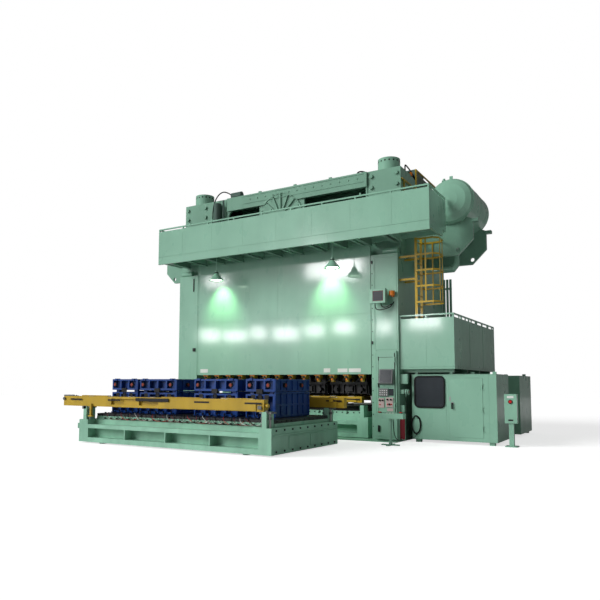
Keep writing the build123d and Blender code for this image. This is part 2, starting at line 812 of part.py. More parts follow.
def make_axle(y):
    """An axle with its two rail wheels."""
    axle = round_x(y, axle_z, axle_r, carriage_mid - rail_gauge / 2 - 60, carriage_mid + rail_gauge / 2 + 60)
    for side in (-1, 1):
        x = carriage_mid + side * rail_gauge / 2
        axle += round_x(y, axle_z, wheel_r, x - wheel_w / 2, x + wheel_w / 2)
    return axle


def feed_bar(x, y, z):
    """A transfer feed bar: a stepped box section with open slots along both sides."""
    bar = block(x, (y - bar_w / 2, y + bar_w / 2), z)
    length = x[1] - x[0]
    for a, b in ((0.28, 0.42), (0.43, 0.53)):
        slot_x = (x[0] + a * length, x[0] + b * length)
        bar -= block(slot_x, (y - bar_w / 2 - 1, y - 20), (z[0] + 60, z[1] - 50))
        bar -= block(slot_x, (y + 20, y + bar_w / 2 + 1), (z[0] + 60, z[1] - 50))
    bar += block((x[0] + 0.60 * length, x[0] + 0.97 * length), (y - bar_w / 2 - 25, y - bar_w / 2),
                 (z[0] + 15, z[1] - 60))
    return bar


def make_outer_bars():
    """The two feed bars that lie on the outer carriage's posts."""
    z = (post_top, post_top + outer_bar_h)
    front = feed_bar(outer_bar_x, outer_front + post_d / 2, z)
    back = feed_bar((outer_bar_x[0] + 500, outer_bar_x[1] + 540), outer_front + carriage_d - post_d / 2, z)
    return [front, back]


def make_lift_blocks():
    """Lifter blocks that climb the guides on the uprights and carry the clamp shoes."""
    blocks = []
    for side in (-1, 1):
        for y in lift_y:
            x = sorted((side * (half - guide_t - touch), side * lift_face))
            blocks.append(block(x, (y - lift_block_half, y + lift_block_half), (shoe_low + 20, shoe_top)))
    return blocks


def make_shoes(y):
    """Clamp shoes at both ends of a feed bar, sliding in and out on the lifter blocks."""
    shoes = []
    face = lift_face - touch
    near = (y - shoe_half, y + shoe_half)
    for side in (-1, 1):
        shoe = block(sorted((side * (face - shoe_t), side * face)), near, (shoe_low, shoe_top))
        shoe += block(sorted((side * (bar_half - 250), side * face)), near, (shoe_low, bar_low - touch))
        shoes.append(shoe)
    return shoes


def make_walkway():
    """Walkway deck: edge beams, cross beams and deck plate with a gap for the slide panel."""
    x0, x1 = walk_x
    deck = block((x0, x1), (-walk_front, -walk_gap), (walk_deck - walk_deck_t, walk_deck))
    deck += block((x0, x1), (-walk_front, -walk_front + 60), (walk_low, walk_deck))
    deck += block((x0, x1), (-walk_gap - 60, -walk_gap), (walk_low + 110, walk_deck))
    for x in spaced(x0 + 40, x1 - 40, 9):
        deck += block((x - 40, x + 40), (-walk_front, -walk_gap), (walk_low + 60, walk_deck))
    for x in ((x0, -half - 30), (half + 30, outer), (outer, x1)):
        deck += block(x, (-walk_gap - 10, crown_front), (walk_deck - walk_deck_t, walk_deck))
        deck += block((x[0], x[0] + 60), (-walk_gap - 10, crown_front), (walk_low + 110, walk_deck))
    return deck


def parapet(x, y, low, high, posts_x, posts_y, sheet_drop):
    """A sheet-metal guard on three sides with a rail above it on short posts."""
    sheet_top = high - sheet_drop
    t = sheet_t
    guard = block(x, (y[0], y[0] + t), (low, sheet_top))
    guard += block((x[1] - t, x[1]), y, (low, sheet_top))
    guard += block(x, (y[0], y[0] + rail_t), (high - rail_t, high))
    guard += block((x[1] - rail_t, x[1]), y, (high - rail_t, high))
    for px in spaced(x[0] + rail_t / 2, x[1] - rail_t / 2, posts_x):
        guard += block((px - rail_t / 2, px + rail_t / 2), (y[0], y[0] + rail_t), (low, high))
    for py in spaced(y[0] + rail_t / 2, y[1] - rail_t / 2, posts_y):
        guard += block((x[1] - rail_t, x[1]), (py - rail_t / 2, py + rail_t / 2), (low, high))
    return guard


def make_walk_parapet():
    """Guard along the walkway's front and both ends."""
    y = (-walk_front, crown_front)
    guard = parapet(walk_x, y, walk_deck, walk_rail, 10, 3, 90)
    left = block((walk_x[0], walk_x[0] + sheet_t), y, (walk_deck, walk_rail - 90))
    left += block((walk_x[0], walk_x[0] + rail_t), y, (walk_rail - rail_t, walk_rail))
    return guard + left + block((walk_x[0], walk_x[0] + rail_t), (y[1] - rail_t, y[1]), (walk_deck, walk_rail))


def make_mezzanine():
    """Mezzanine deck beside the right upright, on short posts over the drive housing."""
    deck = block(mezz_x, mezz_y, (mezz_low, ladder_z[0]))
    for y in spaced(mezz_y[0] + 300, mezz_y[1] - 300, 4):
        deck += block((mezz_x[0], mezz_x[1] - 100), (y - 40, y + 40), (mezz_low - 90, mezz_low))
        deck += block((mezz_x[1] - 220, mezz_x[1] - 140), (y - 40, y + 40), (house_z[1], mezz_low))
        deck += block((mezz_x[0] + 350, mezz_x[0] + 430), (y - 40, y + 40), (house_z[1], mezz_low))
    return deck


def make_mezz_parapet():
    """Guard along the mezzanine's front and outer side."""
    return parapet(mezz_x, mezz_y, ladder_z[0], mezz_rail, 3, 7, 110)


def make_ladder():
    """Two stiles, rungs and brackets to the upright's side."""
    t = stile_t / 2
    ladder = None
    for y in ladder_y:
        stile = block((ladder_x - stile_w / 2, ladder_x + stile_w / 2), (y - t, y + t), ladder_z)
        ladder = stile if ladder is None else ladder + stile
    count = int((ladder_z[1] - ladder_z[0]) / rung_pitch)
    for z in spaced(ladder_z[0] + 200, ladder_z[1] - 150, count):
        ladder += block((ladder_x - rung_half, ladder_x + rung_half), ladder_y, (z - rung_half, z + rung_half))
    for z in (ladder_z[0] + 240, cage_z[0] + 700, column_top - 120):
        for y in ladder_y:
            ladder += block((outer, ladder_x), (y - t, y + t), (z - 30, z + 30))
    return ladder


def make_cage():
    """Safety cage: flat hoops with cut corners and upright bars."""
    y0 = ladder_y[0] - cage_side
    y1 = ladder_y[1] + cage_side
    x0 = ladder_x + stile_w / 2
    x1 = ladder_x + cage_out
    cut = cage_cut
    t = cage_t
    outside = [(x0, y0), (x1 - cut, y0), (x1, y0 + cut), (x1, y1 - cut), (x1 - cut, y1), (x0, y1)]
    inside = [(x0 - 1, y0 + t), (x1 - cut - t / 2, y0 + t), (x1 - t, y0 + cut + t / 2),
              (x1 - t, y1 - cut - t / 2), (x1 - cut - t / 2, y1 - t), (x0 - 1, y1 - t)]
    band = make_face(Polyline(*outside, close=True)) - make_face(Polyline(*inside, close=True))
    cage = None
    for z in spaced(cage_z[0], cage_z[1], 5):
        hoop = Pos(0, 0, z) * extrude(band, cage_band)
        for y, far in ((y0, ladder_y[0] - stile_t / 2), (ladder_y[1] + stile_t / 2, y1)):
            hoop += block((x0 - t, x0 + t), (min(y, far), max(y, far)), (z, z + cage_band))
        cage = hoop if cage is None else cage + hoop
    top = cage_z[1] + cage_band
    for y in (y0 + 200, y1 - 240):
        cage += block((x1 - t, x1), (y, y + 40), (cage_z[0], top))
    for y in (y0, y1 - t):
        cage += block((x0 + 250, x0 + 290), (y, y + t), (cage_z[0], top))
    return cage


def make_tank():
    """Air receiver with dished ends and three lifting lugs."""
    steps = 4
    front, back = tank_y
    edge = [(0, front - tank_dish)]
    for i in range(1, steps + 1):
        a = pi / 2 * i / steps
        edge.append((tank_r * sin(a), front - tank_dish * cos(a)))
    for i in range(steps):
        a = pi / 2 * i / steps
        edge.append((tank_r * cos(a), back + tank_dish * sin(a)))
    edge.append((0, back + tank_dish))
    outline = make_face(Polyline(*[(r, y, 0) for r, y in edge], close=True))
    tank = Pos(tank_x, 0, tank_z) * revolve(outline, Axis.Y)
    for y in (front + 60, (front + back) / 2, back - 60):
        tank += block((tank_x - 45, tank_x + 45), (y - lug_t / 2, y + lug_t / 2),
                      (tank_z + tank_r - 20, tank_z + tank_r + lug_h))
    return tank


def make_air_pipe():
    """Pipe from under the receiver, down and across to the upright, with mitred bends."""
    x = tank_x - 120
    y = tank_y[0] + pipe_back
    start = (x, y, tank_z - tank_r + 20)
    route = Polyline(start, (x, y, pipe_z + 120), (x - 100, y, pipe_z), (outer, y, pipe_z))
    pipe = sweep(Plane(origin=start, z_dir=(0, 0, -1)) * Circle(pipe_r), path=route, transition=Transition.RIGHT)
    return pipe - round_y(tank_x, tank_z, tank_r + touch, 0, frame_depth)


def make_housing():
    """Housing of the feed drive: sheet-metal box on feet, notched at its outer side.

    Behind the service door is a lined compartment, and behind the window a shallow well.
    """
    w = house_wall
    box = block(house_x, house_y, house_z)
    box -= block((house_x[0] + w, house_x[1] - w), (house_y[0] + w, house_y[1] - w),
                 (house_z[0] + w, house_z[1] - w))
    notch = block((house_x[1] - notch_d, house_x[1] + 1), notch_y, (house_z[0] - 1, house_z[1] + 1))
    lining = block((house_x[1] - notch_d - w, house_x[1]), (notch_y[0] - w, notch_y[1] + w), house_z)
    box = box + lining - notch
    for x, z, depth in ((door_x, door_z, room_d), (window_well_x, window_well_z, well_d)):
        box += block((x[0] - w, x[1] + w), (house_y[0], house_y[0] + depth + w), (z[0] - w, z[1] + w))
        box -= block(x, (house_y[0] - 1, house_y[0] + depth), z)
    for x in (house_x[0] + 150, house_x[1] - 150):
        for y in (house_y[0] + 120, house_y[1] - 120):
            box += block((x - foot_half, x + foot_half), (y - foot_half, y + foot_half), (0, house_z[0]))
    box += hinge_pins(door_x[1] - 12, house_y[0] - 16, door_hinge_z, house_y[0])
    box += round_y(hank_middle[0], hank_middle[1] + hank_half[1] - hank_band - hook_r - touch, hook_r,
                   hank_y[0] - 12, house_y[0])
    return box


def rounded_pane(x, z, y0, y1, r):
    """A flat pane with rounded corners."""
    pane = block(x, (y0, y1), z)
    return fillet(pane.edges().filter_by(Axis.Y), r)


def make_window():
    """Dark window pane on the housing's front."""
    return rounded_pane(window_pane_x, window_pane_z, house_front - pane_t, house_front, pane_r)


def make_door():
    """Hinged service door with three knuckles."""
    y = house_y[0]
    door = block((door_x[0] + door_gap, door_x[1] - door_gap), (y - 6, y + 24),
                 (door_z[0] + door_gap, door_z[1] - door_gap))
    door += knuckles(door_x[1] - 12, y - 16, door_hinge_z, y - 6)
    return door - round_y(handle_x, handle_z, handle_r + 0.05, y - 10, y + 30)


def make_handle():
    """Turning handle of the service door."""
    y = house_y[0]
    handle = round_y(handle_x, handle_z, handle_r, y - 36, y + 34)
    handle += block((handle_x - 18, handle_x + 18), (y - 60, y - 32), (handle_z - 150, handle_z + 18))
    return handle


def make_cabinet():
    """Shallow control cabinet with a door frame and a fixed lower panel."""
    cab = block(cab_x, (-cab_d, 0), cab_z)
    cab -= block(cab_door_x, (-cab_d - 1, -10), cab_door_z)
    cab += block((cab_door_x[0], cab_door_x[1] - 60), (-cab_d - 12, -cab_d), (cab_z[0] + 70, cab_door_z[0] - 100))
    cab += hinge_pins(cab_door_x[1] - 10, -cab_d - 24, cab_hinge_z, -cab_d)
    return cab


def make_cabinet_door():
    """Door of the control cabinet."""
    g = door_gap
    door = block((cab_door_x[0] + g, cab_door_x[1] - g), (-cab_d - cab_door_proud, -cab_d + 20),
                 (cab_door_z[0] + g, cab_door_z[1] - g))
    return door + knuckles(cab_door_x[1] - 10, -cab_d - 24, cab_hinge_z, -cab_d - cab_door_proud)


def make_screens():
    """Operator panels on the cabinet door: a tilted screen and a keypad below it."""
    face = -cab_d - cab_door_proud
    low = cab_door_z[0] + 770
    tilt = plate_yz([(face, low), (face - 120, low + 40), (face - 50, low + 430), (face, low + 440)],
                    cab_x[0] + 130, cab_x[0] + 530)
    pad = block((cab_x[0] + 110, cab_x[0] + 380), (face - 30, face), (low - 320, low - 100))
    return [tilt, pad]


def make_display():
    """Display box on the upright with its bracket."""
    box = block((half + 90, half + 560), (-330, -170), (3850, 4260))
    return box + block((half + 240, half + 400), (-170, 0), (3950, 4150))


def make_side_boxes():
    """Junction box, pendant holder, switch box and base panel on the upright's outer side."""
    junction = block((side_x, side_x + 210), (90, 200), (pendant_z + 230, pendant_z + 500))
    holder = block((side_x, side_x + 110), (60, 160), (pendant_z - 45, pendant_z + 70))
    holder += round_x(110, pendant_z, pendant_r, side_x + 110, side_x + 240)
    holder += rod(pendant_cable_route[0], back_from(pendant_cable_route, 45), 14)
    switch = block((side_x, side_x + 120), (70, 160), (pendant_z - 560, pendant_z - 360))
    panel = block((side_x, side_x + 155), (20, 60), (base_t + 40, pendant_z - 710))
    panel += rod(console_cable_route[-1], on_from(console_cable_route, 45), 18)
    return [junction, holder, switch, panel]


def make_beacon():
    """Warning beacon on a bracket beside the display box."""
    x = half + 670
    lamp = round_z(x, -110, 85, 4070, 4200)
    return lamp + block((x - 30, x + 30), (-110, 0), (4040, 4070))


def make_console():
    """Two-hand operator console on a post with a cross foot."""
    x = console_x
    y = console_y
    console = block((x - console_half, x + console_half), (y - console_d / 2, y + console_d / 2),
                    (console_low, console_top))
    console += round_z(x, y, console_post_r, 20, console_low)
    console += block((x - 240, x + 240), (y - 40, y + 40), (0, 30))
    console += block((x - 40, x + 40), (y - 240, y + 240), (0, 30))
    console += rod(console_cable_route[0], back_from(console_cable_route, 40), 18)
    for side in (-1, 1):
        console -= round_z(x + side * palm_out, y, button_stem + bearing_clear, console_top - 50, console_top + 1)
    return console


def make_button(x, y, top, r):
    """A mushroom push button on its stem, pressed along -Z."""
    button = round_z(x, y, button_stem, top - 40, top + button_travel + 4)
    return button + round_z(x, y, r, top + button_travel + 4, top + button_travel + 30)


def make_button_post():
    """Free-standing push-button box on a post with a base plate."""
    x = post_x
    y = post_y
    post = block((x - 150, x + 150), (y - 150, y + 150), (0, 25))
    post += block((x - 60, x + 60), (y - 50, y + 50), (25, post_box_z[0]))
    post += block((x - 150, x + 155), (post_face, y + 70), post_box_z)
    return post - round_y(x, post_button_z, button_stem + bearing_clear, post_face - 1, post_face + 50)


def make_post_button():
    """Round push button on the post's front."""
    stem = round_y(post_x, post_button_z, button_stem, post_face - 14, post_face + 38)
    return stem + round_y(post_x, post_button_z, 38, post_face - 34, post_face - 12)


def make_lamps():
    """Two conical work lamps on thin stems under the walkway."""
    middle = lamp_mouth + shade_h / 2
    lamps = []
    for x in lamp_x:
        shade = Pos(x, lamp_y, middle) * Cone(shade_r, shade_top_r, shade_h)
        shade -= Pos(x, lamp_y, middle - shade_t) * Cone(shade_r - shade_t, shade_top_r - shade_t, shade_h - shade_t)
        shade += round_z(x, lamp_y, shade_top_r, lamp_mouth + shade_h - 15, lamp_mouth + shade_h + 65)
        shade += round_z(x, lamp_y, stem_r, lamp_mouth + shade_h + 65, walk_deck - walk_deck_t)
        lamps.append(shade)
    return lamps


def make_lock_cylinders():
    """Slide-lock cylinders that lie on the tops of the uprights, in front of the crown."""
    cylinders = []
    y = crown_front / 2
    z = column_top + lock_r
    for side in (-1, 1):
        x = sorted((side * (half + 330), side * (outer - 20)))
        body = round_x(y, z, lock_r, x[0] + 40, x[1])
        body += round_x(y, z, lock_r - lock_step, x[0], x[0] + 40)
        cylinders.append(body)
    return cylinders


def make_oil_unit():
    """Hydraulic unit on the crown: accumulator, pipe, motor, hose bracket and reservoir."""
    front = crown_front
    accumulator = round_z(oil_x, oil_y, accumulator_r, *accumulator_z)
    pipe = round_z(oil_pipe_x, oil_y + 40, oil_pipe_r, accumulator_z[0] + 200, crown_top - 50)
    for z in (crown_mid - 200, crown_mid + 300):
        accumulator += block((oil_x - 60, oil_x + 60), (front - 60, front), (z - 30, z + 30))
        pipe += block((oil_pipe_x - 25, oil_pipe_x + 25), (oil_y + 40, front), (z - 20, z + 20))
    motor = round_x(motor_y, crown_top + motor_r, motor_r, *motor_x)
    motor += block((motor_x[0] + 100, motor_x[1] - 100), (motor_y - 80, motor_y + 80), (crown_top, crown_top + 60))
    motor += rod(oil_hose_route[-1], on_from(oil_hose_route, 70), 28)
    foot = oil_hose_route[0]
    bracket = block((foot[0] - 40, foot[0] + 40), (oil_y - 40, front), (foot[2] - 110, foot[2] - 70))
    bracket += rod(foot, back_from(oil_hose_route, 80), 28)
    reservoir = block((upper_half + 100, outer - 60), reservoir_y, (crown_mid, crown_mid + reservoir_h))
    reservoir += block((upper_half + 350, outer - 160), (reservoir_y[0] + 200, reservoir_y[1] - 200),
                       (crown_mid + reservoir_h, crown_mid + reservoir_h + 220))
    return [accumulator, pipe, motor, bracket, reservoir]


def make_hank():
    """Outer shape of the coiled cable that hangs on the housing's hook."""
    ring = Ellipse(*hank_half) - Ellipse(hank_half[0] - hank_band, hank_half[1] - hank_band)
    plane = Plane(origin=(hank_middle[0], hank_y[1], hank_middle[1]), x_dir=(1, 0, 0), z_dir=(0, -1, 0))
    return extrude(plane * ring, amount=hank_t)


def make_crown_rail():
    """Guard rail along the right edge of the crown's top."""
    x = (crown_rail_x, crown_rail_x + rail_t)
    low, high = crown_rail_z
    back = frame_depth - 300
    rail = block(x, (block_front + 40, back), (low, low + rail_t))
    rail += block(x, (block_front + 1270, back), (high, high + rail_t))
    for y in (block_front + 200, block_front + 1270, block_front + 2570, back - rail_t):
        top = low if y < block_front + 1270 else high
        rail += block(x, (y, y + rail_t), (crown_mid - 500, top + rail_t))
        rail += block((outer, crown_rail_x), (y, y + rail_t), (crown_mid - 480, crown_mid - 20))
    return rail


def make_gibs():
    """Gib strips of the slide, bolted to the uprights' inner faces."""
    strips = []
    for side in (-1, 1):
        x = sorted((side * half, side * (half - slide_gap + touch)))
        for y in (gib_in, slide_depth - gib_in - gib_w):
            strips.append(block(x, (y, y + gib_w), (slide_low + 150, column_top - 200)))
    return strips


def main():
    os.makedirs("parts", exist_ok=True)
    upright = make_upright()
    save("bed", make_bed())
    left_lock, right_lock = make_lock_cylinders()
    save("right_upright", upright + make_conduits(), right_lock)
    save("left_upright", mirror_x(upright), left_lock)
    save("crown", make_crown())
    save("bearing_cover", make_bearing_cover())
    save("tie_rod_blocks", *make_rod_blocks())
    top = crown_mid + rod_block_h
    rods = [round_z(x, y, rod_r, base_t, top) for x, y in rod_places]
    nuts = [round_z(x, y, nut_r, top, top + nut_h) for x, y in rod_places]
    save("tie_rods", *rods, *nuts)
    save("air_tank", make_tank())
    save("air_pipe", make_air_pipe())
    save("walkway_deck", make_walkway())
    save("walkway_parapet", make_walk_parapet())
    save("mezzanine_deck", make_mezzanine())
    save("mezzanine_parapet", make_mezz_parapet())
    save("ladder", make_ladder())
    save("ladder_cage", make_cage())
    save("feed_housing", make_housing())
    save("housing_window", make_window())
    save("housing_door", make_door())
    save("door_handle", make_handle())
    save("control_cabinet", make_cabinet())
    save("cabinet_door", make_cabinet_door())
    save("operator_panels", *make_screens())
    save("upright_boxes", make_display(), *make_side_boxes())
    save("beacon", make_beacon())
    save("console", make_console())
    save("palm_button_left", make_button(console_x - palm_out, console_y, console_top, palm_r))
    save("palm_button_right", make_button(console_x + palm_out, console_y, console_top, palm_r))
    save("button_post", make_button_post())
    save("post_button", make_post_button())
    save("work_lamps", *make_lamps())
    save("slide_gibs", *make_gibs())
    save("oil_unit", *make_oil_unit())
    save("crown_rail", make_crown_rail())
    save("oil_hose", cord(oil_hose_route, oil_hose_r))
    save("console_cable", cord(console_cable_route, console_cable_r))
    save("pendant_cable", cord(pendant_cable_route, pendant_cable_r))
    save("cable_hank", make_hank())
    save("slide", make_slide())
    save("die_clamps", *make_clamps())
    hung, low = make_press_dies()
    save("hung_dies", *hung)
    save("plungers", *make_plungers(), *make_connecting_rods())
    save("left_crankshaft", make_crankshaft(-crank_x))
    save("right_crankshaft", make_crankshaft(crank_x))
    save("drive_shaft", make_drive_shaft())
    for name, front in (("outer", outer_front), ("inner", inner_front)):
        if name == "outer":
            save("outer_carriage", make_carriage(front))
            save("outer_bolster", make_bolster(front))
        else:
            save("inner_carriage", make_carriage(front), make_bolster(front))
        save(f"{name}_front_axle", make_axle(front + axle_inset))
        save(f"{name}_rear_axle", make_axle(front + carriage_d - axle_inset))
    lower, upper = make_outer_dies()
    save("outer_lower_dies", *lower)
    save("outer_upper_dies", *upper)
    save("outer_feed_bars", *make_outer_bars())
    save("inner_lower_dies", *low)
    save("lift_blocks", *make_lift_blocks())
    save("front_shoes", *make_shoes(lift_y[0]))
    save("rear_shoes", *make_shoes(lift_y[1]))
    save("front_feed_bar", feed_bar((-bar_half, bar_half), lift_y[0], (bar_low, bar_low + bar_h)))
    save("rear_feed_bar", feed_bar((-bar_half, bar_half), lift_y[1], (bar_low, bar_low + bar_h)))


main()
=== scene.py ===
# %% [markdown]
# An industrial transfer press, dressed for a studio picture.
# The welded frame, slide, carriages and guards come from the CAD model, already in place and in metres.
# This script gives them their paint and steel, adds the small things that sit on them, and sets up the
# lamps and the camera.

# %% Load the frame
from math import cos, pi, radians, sin

import bmesh
import bpy
from mathutils import Matrix, Vector


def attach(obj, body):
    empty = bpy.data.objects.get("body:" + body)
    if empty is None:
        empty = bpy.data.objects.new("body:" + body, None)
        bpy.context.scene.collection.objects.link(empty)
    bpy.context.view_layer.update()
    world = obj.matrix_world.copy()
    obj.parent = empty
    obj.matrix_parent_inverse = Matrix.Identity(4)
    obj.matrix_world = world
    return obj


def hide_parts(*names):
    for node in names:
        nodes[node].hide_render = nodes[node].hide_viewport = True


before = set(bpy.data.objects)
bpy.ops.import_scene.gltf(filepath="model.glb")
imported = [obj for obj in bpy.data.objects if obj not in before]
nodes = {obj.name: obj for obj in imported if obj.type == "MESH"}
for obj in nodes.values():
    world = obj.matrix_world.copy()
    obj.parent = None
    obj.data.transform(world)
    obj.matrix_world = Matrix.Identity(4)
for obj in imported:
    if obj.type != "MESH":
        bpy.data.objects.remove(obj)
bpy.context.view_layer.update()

# %% [markdown]
# The camera stands where the photographer stood, at eye height to the right of the press. Its heading,
# its tilt and its lens were worked out from the straight edges of the press, so a picture from here
# lines up with the photograph. The small shift stands for the way the picture was cropped.

# %% Camera
picture_side = 600          # pixels
focal_length = 602.766      # pixels
lens_centre = (278.726, 333.063)
yaw, pitch, roll = radians(31.611), radians(4.792), radians(0.216)
ahead = Vector((-sin(yaw) * cos(pitch), cos(yaw) * cos(pitch), sin(pitch)))
right = Vector((cos(yaw), sin(yaw), 0))
up = right.cross(ahead)
turned = Matrix((right, up, -ahead)).transposed() @ Matrix.Rotation(roll, 3, "Z")
camera = bpy.data.objects.new("camera", bpy.data.cameras.new("camera"))
camera.matrix_world = Matrix.Translation((9.964, -16.065, 1.592)) @ turned.to_4x4()
camera.data.sensor_width = 36
camera.data.lens = focal_length / picture_side * camera.data.sensor_width
camera.data.shift_x = (picture_side / 2 - lens_centre[0]) / picture_side
camera.data.shift_y = (lens_centre[1] - picture_side / 2) / picture_side
camera.data.clip_end = 200
bpy.context.collection.objects.link(camera)
bpy.context.scene.camera = camera
print("lens", round(camera.data.lens, 2), "mm at", [round(v, 2) for v in camera.location])

# %% [markdown]
# A finish needs patterns that are tied to the piece and not to the picture. They read Object
# coordinates, which are metres here, so a noise of scale 1 makes patches about a metre wide. A Mapping
# node stretches the noise, and a colour ramp turns its grey into the shades between two stops.

# %% Patterns
def shader_nodes(name):
    """A new material, its node tree and its Principled shader."""
    material = bpy.data.materials.new(name)
    material.use_nodes = True
    return material, material.node_tree, material.node_tree.nodes["Principled BSDF"]


def stretched_noise(tree, stretch, scale, detail):
    """Noise in Object coordinates, stretched along the axes."""
    place = tree.nodes.new("ShaderNodeTexCoord")
    mapping = tree.nodes.new("ShaderNodeMapping")
    mapping.inputs["Scale"].default_value = stretch
    noise = tree.nodes.new("ShaderNodeTexNoise")
    noise.inputs["Scale"].default_value = scale
    noise.inputs["Detail"].default_value = detail
    tree.links.new(place.outputs["Object"], mapping.inputs["Vector"])
    tree.links.new(mapping.outputs["Vector"], noise.inputs["Vector"])
    return noise.outputs["Fac"]


def ramp(tree, factor, stops):
    """Turns a pattern into colours. Each stop is (position, colour)."""
    node = tree.nodes.new("ShaderNodeValToRGB")
    while len(node.color_ramp.elements) < len(stops):
        node.color_ramp.elements.new(0.5)
    for element, (position, colour) in zip(node.color_ramp.elements, stops):
        element.position = position
        element.color = (*colour, 1)
    tree.links.new(factor, node.inputs["Fac"])
    return node.outputs["Color"]


def darker(colour, share):
    """A colour at a share of its light."""
    return tuple(v * share for v in colour)


print("patterns ready")

# %% [markdown]
# Machine paint is never one flat colour. It is a thick semi-gloss coat over steel plate that is not
# quite flat, it is a little lighter or darker from place to place, and dust and oil run down it. One
# function makes every paint and steel on the press, so that they all age in the same way. Its clear
# coat gives the sharp part of the gloss, and the bump lets reflections waver as on real plate.

# %% Coats
def coat(name, colour, rough=0.30, patch=0.07, grime=0.10, ripple=0.16, metal=0.0, clear=0.4):
    """Paint or steel: patches, streaks that run down, and a faint ripple of the plate."""
    material, tree, shader = shader_nodes(name)
    patches = ramp(tree, stretched_noise(tree, (1, 1, 1), 0.9, 5),
                   [(0.3, darker(colour, 1 - patch)), (0.7, darker(colour, 1 + patch * 0.6))])
    streaks = ramp(tree, stretched_noise(tree, (1.6, 1.6, 0.35), 1.4, 5),
                   [(0.42, (1, 1, 1)), (0.78, (1 - grime, 1 - grime, 1 - grime))])
    blend = tree.nodes.new("ShaderNodeMixRGB")
    blend.blend_type = "MULTIPLY"
    blend.inputs["Fac"].default_value = 0.8
    tree.links.new(patches, blend.inputs["Color1"])
    tree.links.new(streaks, blend.inputs["Color2"])
    tree.links.new(blend.outputs["Color"], shader.inputs["Base Color"])
    gloss = ramp(tree, stretched_noise(tree, (1, 1, 0.6), 2.2, 4),
                 [(0.3, (rough * 0.8,) * 3), (0.75, (min(rough * 1.35, 1),) * 3)])
    tree.links.new(gloss, shader.inputs["Roughness"])
    bump = tree.nodes.new("ShaderNodeBump")
    bump.inputs["Strength"].default_value = ripple
    bump.inputs["Distance"].default_value = 0.02
    tree.links.new(stretched_noise(tree, (1, 1, 1), 1.7, 3), bump.inputs["Height"])
    tree.links.new(bump.outputs["Normal"], shader.inputs["Normal"])
    shader.inputs["Metallic"].default_value = metal
    shader.inputs["Coat Weight"].default_value = clear
    shader.inputs["Coat Roughness"].default_value = 0.09
    shader.inputs["Specular IOR Level"].default_value = 0.3
    return material


def glow(name, colour, strength):
    """A surface that gives light."""
    material, tree, shader = shader_nodes(name)
    shader.inputs["Base Color"].default_value = (*colour, 1)
    shader.inputs["Emission Color"].default_value = (*colour, 1)
    shader.inputs["Emission Strength"].default_value = strength
    return material


print("coats ready")

# %% [markdown]
# The press needs about twenty finishes. Most are shades of one green. The carriages and the floor plate
# are rubbed and oily, so their green is rougher and has stronger patches and streaks. Steel is metallic
# and has no clear coat.

# %% Finishes
green = (0.235, 0.455, 0.335)
finish = {
    "green": coat("green_machine_paint", green, ripple=0.22, clear=0.6),
    # The crown's green is the same paint a fifth darker: painted shade for the dimmer light up high.
    "green_shaded_high": coat("green_paint_shaded_up_high", darker(green, 0.80)),
    "green_deep": coat("green_paint_in_shade", darker(green, 0.62), rough=0.45),
    # The carriages' and the bed's green is the same paint a quarter lighter, which is painted light for the
    # stronger light low down; its patches and streaks are real rubbing and oil.
    "green_worn_and_lit": coat("green_paint_worn_and_lit", darker(green, 1.25), rough=0.42, patch=0.16, grime=0.35),
    "dark_green": coat("dark_green_paint", (0.07, 0.12, 0.10), rough=0.45),
    "yellow": coat("yellow_safety_paint", (0.50, 0.33, 0.025), rough=0.38, patch=0.12, grime=0.35),
    "blue": coat("blue_die_paint", (0.010, 0.054, 0.25), rough=0.42, patch=0.2, grime=0.3, clear=0.15),
    "steel": coat("machined_steel", (0.42, 0.43, 0.42), rough=0.32, patch=0.18, grime=0.4,
                  metal=0.85, clear=0),
    "dark_steel": coat("dark_oiled_steel", (0.05, 0.05, 0.052), rough=0.42, patch=0.25, grime=0.3,
                       metal=0.6, clear=0),
    # Black plastic parts take this black; the black plates and discs for pockets, slots and holes use it as
    # painted shade.
    "black": coat("black_plastic", (0.012, 0.012, 0.013), rough=0.4, clear=0),
    "rubber": coat("cable_rubber", (0.012, 0.012, 0.012), rough=0.6, clear=0),
    "grey": coat("grey_enclosure", (0.16, 0.17, 0.17), rough=0.45, clear=0),
    "screen": coat("dark_screen_glass", (0.022, 0.028, 0.034), rough=0.22, patch=0.3, grime=0.1,
                   ripple=0.02, clear=0.1),
    "orange": coat("orange_lens", (0.80, 0.22, 0.02), rough=0.2, clear=0.6),
    "red": coat("red_button", (0.55, 0.02, 0.015), rough=0.25, clear=0.5),
    "dark_red": coat("dark_red_panel", (0.16, 0.012, 0.02), rough=0.35, clear=0.4),
    "white": coat("pale_plate", (0.70, 0.71, 0.68), rough=0.4, grime=0.15, clear=0.1),
    "dull_red": coat("trunnion_end", (0.26, 0.035, 0.02), rough=0.4, clear=0.1),
    "pink": coat("switch_panel", (0.50, 0.40, 0.38), rough=0.4, clear=0.2),
    "blank": coat("sheet_blank", (0.50, 0.50, 0.48), rough=0.35, patch=0.15, grime=0.2,
                  metal=0.3, clear=0),
    "lamp": glow("lit_lamp", (0.82, 1.0, 0.80), 9),
}

# %% [markdown]
# Each CAD piece keeps its shape and gets one of these finishes. The press is green all over, the ladder,
# its cage and the feed bars are yellow, the dies are blue, and what runs on oil is bare or dark steel.

